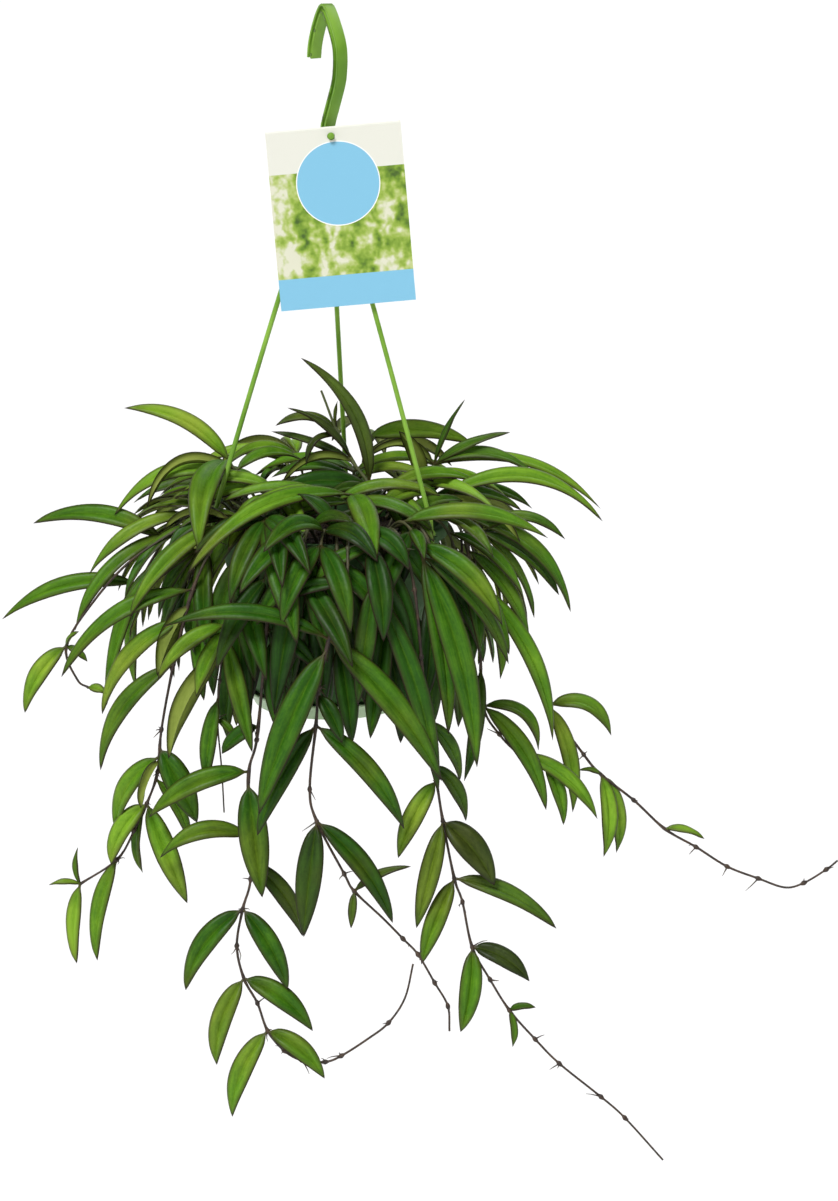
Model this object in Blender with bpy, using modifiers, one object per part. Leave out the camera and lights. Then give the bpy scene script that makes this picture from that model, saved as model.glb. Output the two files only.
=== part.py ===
"""A potted wax plant with trailing vines in a hanging pot. Metres, +Z up, +Y away from the front.

The origin is the seat of the hook, where the pot hangs. Shoots are stems with keeled, narrow leaves.
"""

import math

import bmesh
import bpy
from mathutils import Matrix, Vector
from mathutils.bvhtree import BVHTree

MM = 0.001
GAP = 0.3  # clearance between neighbouring pieces, mm

# Driving dimensions, in mm.
RIM_Z = -307.0
POT_HEIGHT = 105.0
RIM_R = 72.5
WALL_TOP_R = 69.0
WALL_BOTTOM_R = 49.0
WALL = 1.2
LIP_DROP = 7.0
SOIL_Z = -316.0
SAUCER_R = 53.0
SAUCER_BOTTOM_Z = -421.0
SAUCER_DEPTH = 10.0
ARM_ANGLES = (84.0, 204.0, 324.0)
ARM_R = 1.5
LUG_R = 76.5
HUB_Z = -92.0
HUB_R = 8.0
STRAP_WIDTH = 7.4
STRAP_THICK = 4.6
STRAP_GROOVE = (1.6, 1.8)  # depth and height of the groove down each narrow side
HOOK_TURN = 115.0  # the hook's plane, degrees counterclockwise from +X
CARD_WIDTH = 80.5
CARD_HEIGHT = 106.0
CARD_THICK = 0.5
CARD_ROLL = 5.0  # degrees, its right side up
CARD_LEAN = 7.0  # degrees, its foot forward, against the front arms
CARD_CENTRE = Vector((8.1, -17.4, -118.5))
STEM_R = 1.1

POT_BOTTOM_Z = RIM_Z - POT_HEIGHT
CARD_HOLE = Vector((2.5, 0.0, -71.4))  # middle of the peg
CARD_HOLE_R = 2.3
PEG_R = 1.5
PEG_END_Y = -15.5

FRONT = Vector((0.0, -1.0, 0.3))


def collection_named(name):
    made = bpy.data.collections.new(name)
    bpy.context.scene.collection.children.link(made)
    return made


def material(name, colour, roughness):
    made = bpy.data.materials.new(name)
    made.use_nodes = True
    shader = made.node_tree.nodes["Principled BSDF"]
    shader.inputs["Base Color"].default_value = (*colour, 1.0)
    shader.inputs["Roughness"].default_value = roughness
    return made


def new_object(name, mesh, where, mat=None):
    obj = bpy.data.objects.new(name, mesh)
    where.objects.link(obj)
    if mat:
        obj.data.materials.append(mat)
    return obj


def mesh_from(bm, name):
    mesh = bpy.data.meshes.new(name)
    bm.to_mesh(mesh)
    bm.free()
    mesh.transform(Matrix.Scale(MM, 4))
    return mesh


def as_cutter(obj):
    obj.hide_render = True
    obj.display_type = "WIRE"
    return obj


def tube(name, points, radius, where, sides_resolution=1):
    """A round rod along the points, as a closed mesh."""
    curve = bpy.data.curves.new(name, "CURVE")
    curve.dimensions = "3D"
    curve.bevel_depth = radius * MM
    curve.bevel_resolution = sides_resolution
    curve.use_fill_caps = True
    spline = curve.splines.new("POLY")
    spline.points.add(len(points) - 1)
    for target, point in zip(spline.points, points):
        target.co = (*(Vector(point) * MM), 1.0)
    source = bpy.data.objects.new(name + "_line", curve)
    bpy.context.scene.collection.objects.link(source)
    graph = bpy.context.evaluated_depsgraph_get()
    mesh = bpy.data.meshes.new_from_object(source.evaluated_get(graph))
    bm = bmesh.new()
    bm.from_mesh(mesh)
    bmesh.ops.remove_doubles(bm, verts=bm.verts, dist=1e-6)
    bmesh.ops.recalc_face_normals(bm, faces=bm.faces)
    bm.to_mesh(mesh)
    bm.free()
    made = bpy.data.objects.new(name, mesh)
    made.matrix_world = source.matrix_world
    where.objects.link(made)
    bpy.data.objects.remove(source)
    return made


def turned(name, profile, where, mat, steps=28):
    """A solid of revolution about Z; the profile runs down its outer side, in mm."""
    mesh = bpy.data.meshes.new(name)
    mesh.from_pydata(
        [(r * MM, 0.0, z * MM) for r, z in profile],
        [(i, i + 1) for i in range(len(profile) - 1)],
        [],
    )
    made = new_object(name, mesh, where, mat)
    screw = made.modifiers.new("turn", "SCREW")
    screw.axis = "Z"
    screw.steps = steps
    screw.render_steps = steps
    screw.use_merge_vertices = True
    screw.merge_threshold = 0.0001
    return made


def boolean(target, operation, operands):
    modifier = target.modifiers.new(operation.lower(), "BOOLEAN")
    modifier.operation = operation
    modifier.solver = "EXACT"
    modifier.operand_type = "COLLECTION"
    modifier.collection = operands


def smooth_shade(obj, degrees=35.0):
    obj.data.shade_smooth()
    obj.data.set_sharp_from_angle(angle=math.radians(degrees))


def around(angle, radius, z):
    turn = math.radians(angle)
    return Vector((radius * math.cos(turn), radius * math.sin(turn), z))


def smooth_route(points, steps):
    """Points on a smooth curve through the route's own points (Catmull-Rom)."""
    route = [Vector(p) for p in points]
    ends = [route[0] * 2 - route[1]] + route + [route[-1] * 2 - route[-2]]
    made = []
    for i in range(len(route) - 1):
        a, b, c, d = ends[i : i + 4]
        for k in range(steps):
            t = k / steps
            made.append(
                0.5
                * (
                    2 * b
                    + (c - a) * t
                    + (2 * a - 5 * b + 4 * c - d) * t * t
                    + (3 * b - a - 3 * c + d) * t**3
                )
            )
    made.append(route[-1])
    return made


# ---------------------------------------------------------------- the pot


def make_pot(parts):
    lip_z = RIM_Z - LIP_DROP
    profile = [
        (WALL_TOP_R - WALL - 0.4, RIM_Z),
        (RIM_R - 0.8, RIM_Z),
        (RIM_R, RIM_Z - 0.8),
        (RIM_R, lip_z),
        (RIM_R - WALL, lip_z),
        (RIM_R - WALL, RIM_Z - 1.6),
        (WALL_TOP_R + 0.6, RIM_Z - 1.6),
        (WALL_TOP_R, RIM_Z - 3.0),
        (WALL_BOTTOM_R + 1.5, POT_BOTTOM_Z + 4.0),
        (WALL_BOTTOM_R, POT_BOTTOM_Z + 1.0),
        (WALL_BOTTOM_R - 1.0, POT_BOTTOM_Z),
        (0.0, POT_BOTTOM_Z),
    ]
    inner = [
        (0.0, POT_BOTTOM_Z + WALL),
        (WALL_BOTTOM_R - 1.4, POT_BOTTOM_Z + WALL),
        (WALL_BOTTOM_R + 0.2, POT_BOTTOM_Z + 4.2),
        (WALL_TOP_R - WALL - 0.4, RIM_Z),
    ]
    pot = turned("pot", profile + inner, parts, material("pot_plastic", (0.3, 0.5, 0.2), 0.4))

    lugs = collection_named("pot_lugs")
    holes = collection_named("pot_holes")
    for angle in ARM_ANGLES:
        centre = around(angle, LUG_R, RIM_Z - 1.0)
        bm = bmesh.new()
        bmesh.ops.create_cube(bm, size=1.0)
        bmesh.ops.scale(bm, vec=(9.4, 11.0, 2.0), verts=bm.verts)
        bmesh.ops.rotate(bm, matrix=Matrix.Rotation(math.radians(angle), 3, "Z"), verts=bm.verts)
        bmesh.ops.translate(bm, vec=centre, verts=bm.verts)
        as_cutter(new_object("lug_block", mesh_from(bm, "lug_block"), lugs))
        bm = bmesh.new()
        bmesh.ops.create_cone(
            bm, cap_ends=True, segments=12, radius1=ARM_R + GAP, radius2=ARM_R + GAP, depth=12.0
        )
        bmesh.ops.translate(bm, vec=centre, verts=bm.verts)
        as_cutter(new_object("lug_hole", mesh_from(bm, "lug_hole"), holes))
    for k in range(5):
        bm = bmesh.new()
        bmesh.ops.create_cone(bm, cap_ends=True, segments=8, radius1=2.6, radius2=2.6, depth=6.0)
        bmesh.ops.translate(bm, vec=around(18 + 72 * k, 20.0, POT_BOTTOM_Z), verts=bm.verts)
        as_cutter(new_object("drain_hole", mesh_from(bm, "drain_hole"), holes))
    boolean(pot, "UNION", lugs)
    boolean(pot, "DIFFERENCE", holes)
    return pot


def make_saucer(parts):
    top = SAUCER_BOTTOM_Z + SAUCER_DEPTH
    floor = SAUCER_BOTTOM_Z + WALL
    seat = POT_BOTTOM_Z - GAP
    profile = [
        (SAUCER_R - WALL, top),
        (SAUCER_R, top),
        (SAUCER_R, top - 1.6),
        (SAUCER_R - 5.0, SAUCER_BOTTOM_Z + 0.6),
        (SAUCER_R - 6.0, SAUCER_BOTTOM_Z),
        (0.0, SAUCER_BOTTOM_Z),
        (0.0, floor),
        (38.0, floor),
        (38.0, seat),
        (40.0, seat),
        (40.0, floor),
        (SAUCER_R - 6.6, floor),
        (SAUCER_R - WALL, top - 1.6),
        (SAUCER_R - WALL, top),
    ]
    return turned("saucer", profile, parts, material("saucer_plastic", (0.45, 0.6, 0.35), 0.45))


def make_soil(parts):
    slope = (WALL_TOP_R - WALL_BOTTOM_R) / POT_HEIGHT
    bottom = POT_BOTTOM_Z + WALL + GAP
    top_r = WALL_TOP_R - 2.6 + slope * (SOIL_Z - RIM_Z)
    profile = [
        (0.0, SOIL_Z),
        (top_r, SOIL_Z),
        (WALL_BOTTOM_R - 1.0, POT_BOTTOM_Z + 6.0),
        (WALL_BOTTOM_R - 3.5, bottom),
        (0.0, bottom),
    ]
    return turned("soil", profile, parts, material("potting_soil", (0.03, 0.02, 0.012), 0.95), 24)


# ---------------------------------------------------------------- the hanger and its card


# The strap's middle line from the hub up and over the hook: along the hook's plane, and height.
HOOK_LINE = (
    (0.0, -74.0), (-1.0, -66.0), (-9.0, -53.5), (-17.0, -41.0), (-19.4, -33.0), (-20.0, -26.0),
    (-18.9, -19.6), (-15.4, -13.2), (-10.8, -7.2), (-5.4, -1.2), (0.0, 2.3), (5.4, -1.2),
    (10.8, -7.6), (15.0, -14.0), (18.0, -20.5), (19.6, -27.5),
)


def hook_route():
    """The strap's middle line in space, and the direction of the hook's plane."""
    turn = math.radians(HOOK_TURN)
    along = Vector((math.cos(turn), math.sin(turn), 0.0))
    line = ((0.0, HUB_Z),) + HOOK_LINE
    return [along * u + Vector((0, 0, z)) for u, z in line], along


def make_strap(where):
    """The hook: a strap with a groove down each narrow side."""
    route, along = hook_route()
    across = Vector((0, 0, 1)).cross(along)
    half_w, half_t = STRAP_WIDTH / 2, STRAP_THICK / 2
    web, groove = half_w - STRAP_GROOVE[0], STRAP_GROOVE[1] / 2
    outline = [
        (-half_w, -half_t), (half_w, -half_t), (half_w, -groove), (web, -groove),
        (web, groove), (half_w, groove), (half_w, half_t), (-half_w, half_t),
        (-half_w, groove), (-web, groove), (-web, -groove), (-half_w, -groove),
    ]
    bm = bmesh.new()
    rings = []
    for i, point in enumerate(route):
        before, after = route[max(i - 1, 0)], route[min(i + 1, len(route) - 1)]
        out = (after - before).normalized().cross(across)
        rings.append([bm.verts.new(point + across * a + out * b) for a, b in outline])
    for low, high in zip(rings, rings[1:]):
        for k in range(len(outline)):
            n = (k + 1) % len(outline)
            bm.faces.new((low[k], low[n], high[n], high[k]))
    bm.faces.new(rings[0][::-1])
    bm.faces.new(rings[-1])
    bmesh.ops.recalc_face_normals(bm, faces=bm.faces)
    return new_object("hook_strap", mesh_from(bm, "hook_strap"), where)


def cone_at(name, where, centre, r_low, r_high, depth, axis="Z", segments=12):
    bm = bmesh.new()
    bmesh.ops.create_cone(
        bm, cap_ends=True, segments=segments, radius1=r_low, radius2=r_high, depth=depth
    )
    if axis == "Y":
        bmesh.ops.rotate(bm, matrix=Matrix.Rotation(math.radians(90), 3, "X"), verts=bm.verts)
    bmesh.ops.translate(bm, vec=centre, verts=bm.verts)
    return new_object(name, mesh_from(bm, name), where)


def make_hanger(parts):
    pieces = collection_named("hanger_pieces")
    strap = make_strap(parts)
    strap.name = "hanger"
    strap.data.materials.append(material("hanger_plastic", (0.2, 0.45, 0.06), 0.35))
    as_cutter(cone_at("hub", pieces, (0, 0, HUB_Z), 9.5, 6.0, 8.0))
    for angle in ARM_ANGLES:
        start = around(angle, HUB_R - 2.0, HUB_Z)
        bend = around(angle, LUG_R, RIM_Z + 5.0)
        end = around(angle, LUG_R, RIM_Z - 5.0)
        as_cutter(tube("arm", [start, bend, end], ARM_R, pieces))
        shoulder, barb = around(angle, LUG_R, RIM_Z + 1.3), around(angle, LUG_R, RIM_Z - 4.4)
        as_cutter(cone_at("shoulder", pieces, shoulder, 2.6, 2.0, 2.0, segments=8))
        as_cutter(cone_at("barb", pieces, barb, 0.9, 2.4, 4.0, segments=8))
    peg = CARD_HOLE + Vector((0, PEG_END_Y / 2, 0))
    as_cutter(cone_at("peg", pieces, peg, PEG_R, PEG_R, -PEG_END_Y, "Y"))
    knob = CARD_HOLE + Vector((0, PEG_END_Y, 0))
    as_cutter(cone_at("peg_knob", pieces, knob, PEG_R + 0.5, PEG_R + 0.5, 1.6, "Y"))
    boolean(strap, "UNION", pieces)
    return strap


def make_card(parts):
    """One folded sheet: two panels from a fold at the top, held on the hanger's peg."""
    spread = 2.2
    top, bottom = CARD_HEIGHT / 2, -CARD_HEIGHT / 2
    t = CARD_THICK
    inner = 0.5
    outline = [
        (-inner / 2 - t, top - 1.0), (-inner / 2, top), (inner / 2, top), (inner / 2 + t, top - 1.0),
        (spread + t, bottom), (spread, bottom), (inner / 2, top - 1.4), (-inner / 2, top - 1.4),
        (-spread, bottom), (-spread - t, bottom),
    ]
    bm = bmesh.new()
    face = bm.faces.new([bm.verts.new((-CARD_WIDTH / 2, y, z)) for y, z in outline])
    swept = bmesh.ops.extrude_face_region(bm, geom=[face])
    moved = [v for v in swept["geom"] if isinstance(v, bmesh.types.BMVert)]
    bmesh.ops.translate(bm, vec=(CARD_WIDTH, 0, 0), verts=moved)
    bmesh.ops.recalc_face_normals(bm, faces=bm.faces)
    roll = Matrix.Rotation(math.radians(-CARD_ROLL), 4, "Y")
    lean = Matrix.Rotation(math.radians(-CARD_LEAN), 4, "X")
    bmesh.ops.transform(bm, matrix=Matrix.Translation(CARD_CENTRE) @ lean @ roll, verts=bm.verts)
    card = new_object("label_card", mesh_from(bm, "label_card"), parts)
    card.data.materials.append(material("printed_card", (0.85, 0.84, 0.78), 0.5))
    punch = collection_named("card_punch")
    hole = CARD_HOLE + Vector((0, PEG_END_Y, -(CARD_HOLE_R - PEG_R - GAP)))
    as_cutter(cone_at("punch", punch, hole, CARD_HOLE_R, CARD_HOLE_R, 24, "Y"))
    boolean(card, "DIFFERENCE", punch)
    return card


# ---------------------------------------------------------------- the plant

# Each shoot is one stem with the leaves that grew on it, in mm. Its route starts just above the
# soil. A leaf is: place along the route (in route points), reach from there to its tip, width,
# arch (rise of its middle, as a share of its length) and how far its blade faces the front:
# 1 full, 0 none, and below 0 with its underside.

VINES = {
    "vine_far_left": dict(
        route=[
            (-52, -12, -311), (-74, -18, -298), (-90, -24, -306), (-120, -32, -325),
            (-143, -32, -350), (-161, -30, -379), (-155, -30, -400), (-148, -31, -405),
        ],
        leaves=[
            (5, (-26, -5, -41), 12, 0.10, 0.7), (5, (9, -3, 11), 4, 0.1, 0.5),
            (5, (13, -3, -9), 5, 0.1, 0.5), (7, (12, -4, -3), 6, 0.1, 0.5),
        ],
    ),
    "vine_left": dict(
        route=[
            (-38, -40, -311), (-54, -52, -298), (-66, -60, -307), (-80, -66, -335),
            (-92, -70, -380), (-100, -72, -420), (-103, -70, -447), (-110, -70, -467),
            (-118, -70, -484), (-129, -69, -503), (-152, -68, -519),
        ],
        leaves=[
            (3.0, (-79, -8, -52), 12, 0.14, 0.5), (3.2, (-19, -16, -46), 13, 0.05, -0.6),
            (3.4, (-51, -6, -60), 12, 0.14, 0.6), (4.0, (-45, -4, -65), 12, 0.14, 0.6),
            (5.4, (22, -6, -45), 16, 0.08, 0.7), (5.7, (-10, -14, -26), 11, 0.1, -0.5),
            (5.6, (-27, 4, -49), 13, 0.14, 0.6), (6.2, (19, 6, -42), 8, 0.1, 0.6),
            (7.0, (-30, -4, -38), 13, 0.12, 0.6), (7.0, (24, -8, -61), 13.5, 0.08, 0.7),
            (7.3, (-2, 8, -42), 9, 0.08, 0.5), (9.0, (-13, -6, -63), 11, 0.08, 0.6),
            (10.0, (-3, -4, -50), 10, 0.06, 0.6), (10.0, (-1, 2, 23), 4, 0.1, 0.5),
            (10.0, (-19, -2, 0), 4, 0.1, 0.5),
        ],
    ),
    "vine_left_thin": dict(
        radius=0.8,
        route=[
            (-28, -48, -311), (-38, -66, -298), (-46, -80, -308), (-57, -82, -340),
            (-62, -80, -370), (-64, -78, -388), (-66, -76, -412), (-64, -75, -444),
            (-63, -75, -471),
        ],
        leaves=[
            (3.4, (-40, -12, -30), 11, 0.12, 0.5), (3.5, (-17, -12, -38), 10, 0.08, 0.6),
            (3.6, (16, -10, -70), 11, 0.08, 0.6), (4.0, (-32, -14, -62), 15, 0.10, -0.6),
            (5.5, (-7, -8, -54), 10, 0.06, 0.6), (6.0, (11, -4, -11), 5, 0.1, 0.5),
        ],
    ),
    "vine_front_left": dict(
        route=[
            (-18, -46, -311), (-22, -70, -298), (-27, -84, -308), (-33, -90, -335),
            (-37, -90, -375), (-42, -87, -422), (-47, -86, -442), (-48, -84, -480),
            (-47, -85, -510), (-52, -85, -529), (-56, -84, -553), (-52, -84, -574),
            (-44, -84, -590), (-38, -84, -608), (-28, -84, -621), (-17, -85, -627),
            (-3, -85, -628), (7, -85, -624), (24, -86, -612), (36, -86, -602),
            (46, -86, -586), (51, -86, -564),
        ],
        leaves=[
            (3.5, (30, -8, -22), 11, 0.1, 0.6), (4.8, (-22, -6, -18), 10, 0.1, 0.6),
            (6.0, (-60, -6, -27), 13, 0.12, 0.6), (6.2, (8, -12, -68), 17, 0.05, 0.7),
            (7.1, (-53, -8, -11), 12, 0.20, 0.5), (7.6, (31, 6, -50), 12, 0.1, 0.6),
            (9.0, (-35, -6, -50), 13.5, 0.13, 0.7), (9.0, (27, -8, -49), 13, 0.12, 0.7),
            (11.0, (-17, -6, -54), 13, 0.12, 0.7), (11.0, (42, -8, -31), 13, 0.13, 0.7),
            (13.0, (-22, -6, -54), 13, 0.12, 0.7), (13.0, (35, -8, -28), 12, 0.13, 0.7),
        ],
    ),
    "vine_front": dict(
        route=[
            (12, -52, -311), (13, -72, -297), (13, -92, -304), (12, -103, -323),
            (2, -104, -356), (-4, -105, -385), (-6, -105, -408), (-10, -105, -447),
            (-6, -105, -467), (10, -104, -500), (16, -104, -511), (33, -104, -528),
            (45, -104, -541), (54, -104, -551), (64, -104, -569), (72, -104, -584),
            (73, -104, -600),
        ],
        leaves=[
            (3.0, (-48, 12, -21), 10, 0.12, 0.5), (4.0, (-97, -2, 8), 12, 0.14, 0.4),
            (4.0, (66, -8, -84), 16, 0.07, 0.6), (4.2, (-40, -16, -96), 17, 0.06, 0.7),
            (5.2, (14, -8, -27), 10, 0.1, 0.6), (6.0, (-35, -6, -66), 13, 0.07, 0.7),
            (6.0, (52, -6, -62), 13, 0.1, 0.6), (8.0, (-8, -10, -69), 15, 0.04, 0.7),
            (8.0, (45, -5, -62), 13, 0.1, 0.6), (10.0, (34, -4, 17), 6, 0.1, 0.5),
            (10.0, (-2, -4, -22), 5, 0.1, 0.5),
        ],
    ),
    "vine_front_right": dict(
        route=[
            (28, -46, -311), (38, -66, -298), (46, -80, -307), (52, -88, -330),
            (56, -90, -370), (60, -86, -420), (65, -81, -449), (69, -80, -475),
            (76, -78, -512), (81, -78, -527), (87, -78, -556), (98, -78, -577),
            (110, -78, -597), (126, -78, -616), (141, -78, -632), (167, -78, -654),
            (182, -78, -668), (206, -78, -696),
        ],
        leaves=[
            (4.8, (20, 10, -40), 10, 0.1, 0.6), (5.6, (20, 8, -38), 10, 0.1, 0.6),
            (6.0, (-23, -6, -47), 12, 0.10, 0.7), (7.0, (-16, -6, -66), 12, 0.10, 0.7),
            (7.0, (31, -8, -38), 17, 0.08, 0.7), (8.0, (-20, -6, -53), 12, 0.10, 0.7),
            (8.0, (62, -6, -30), 12, 0.10, 0.5), (10.0, (-7, -6, -53), 13, 0.1, 0.7),
            (10.0, (35, -6, -20), 12, 0.12, 0.6), (12.0, (16, -3, 3), 5, 0.1, 0.5),
            (12.0, (2, -3, -23), 5, 0.1, 0.5),
        ],
    ),
    "vine_right": dict(
        route=[
            (52, -10, -311), (70, -18, -298), (84, -24, -306), (90, -30, -340),
            (92, -32, -380), (94, -30, -417), (104, -30, -435), (117, -30, -448),
            (132, -30, -454), (140, -30, -458),
        ],
        leaves=[
            (4.3, (-10, -10, -70), 9, 0.06, 0.6), (5.0, (34, -6, -27), 10, 0.28, 0.4),
            (5.0, (39, -10, -64), 12, 0.1, 0.7), (7.0, (40, -6, -40), 11, 0.12, 0.6),
            (8.0, (12, -5, -38), 9, 0.08, 0.7),
        ],
    ),
    "vine_far_right": dict(
        route=[
            (54, 4, -311), (73, 6, -297), (90, 7, -306), (108, 4, -350), (124, 2, -398),
            (136, 0, -425), (158, 0, -457), (169, 0, -470), (190, 0, -487), (210, 0, -506),
            (230, 0, -518), (250, 0, -531), (270, 0, -539), (287, 0, -545), (299, 0, -542),
            (313, 0, -533), (320, 0, -527),
        ],
        leaves=[
            (5.0, (39, -3, -19), 12, 0.25, 0.5), (5.0, (15, -6, -67), 11, 0.08, 0.7),
            (7.0, (-14, -4, 4), 4, 0.1, 0.5), (7.0, (2, -8, -52), 11, 0.08, 0.7),
            (7.0, (11, 6, -54), 11, 0.1, 0.7), (9.0, (25, -2, -6), 6, 0.1, 0.5),
        ],
    ),
}

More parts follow.
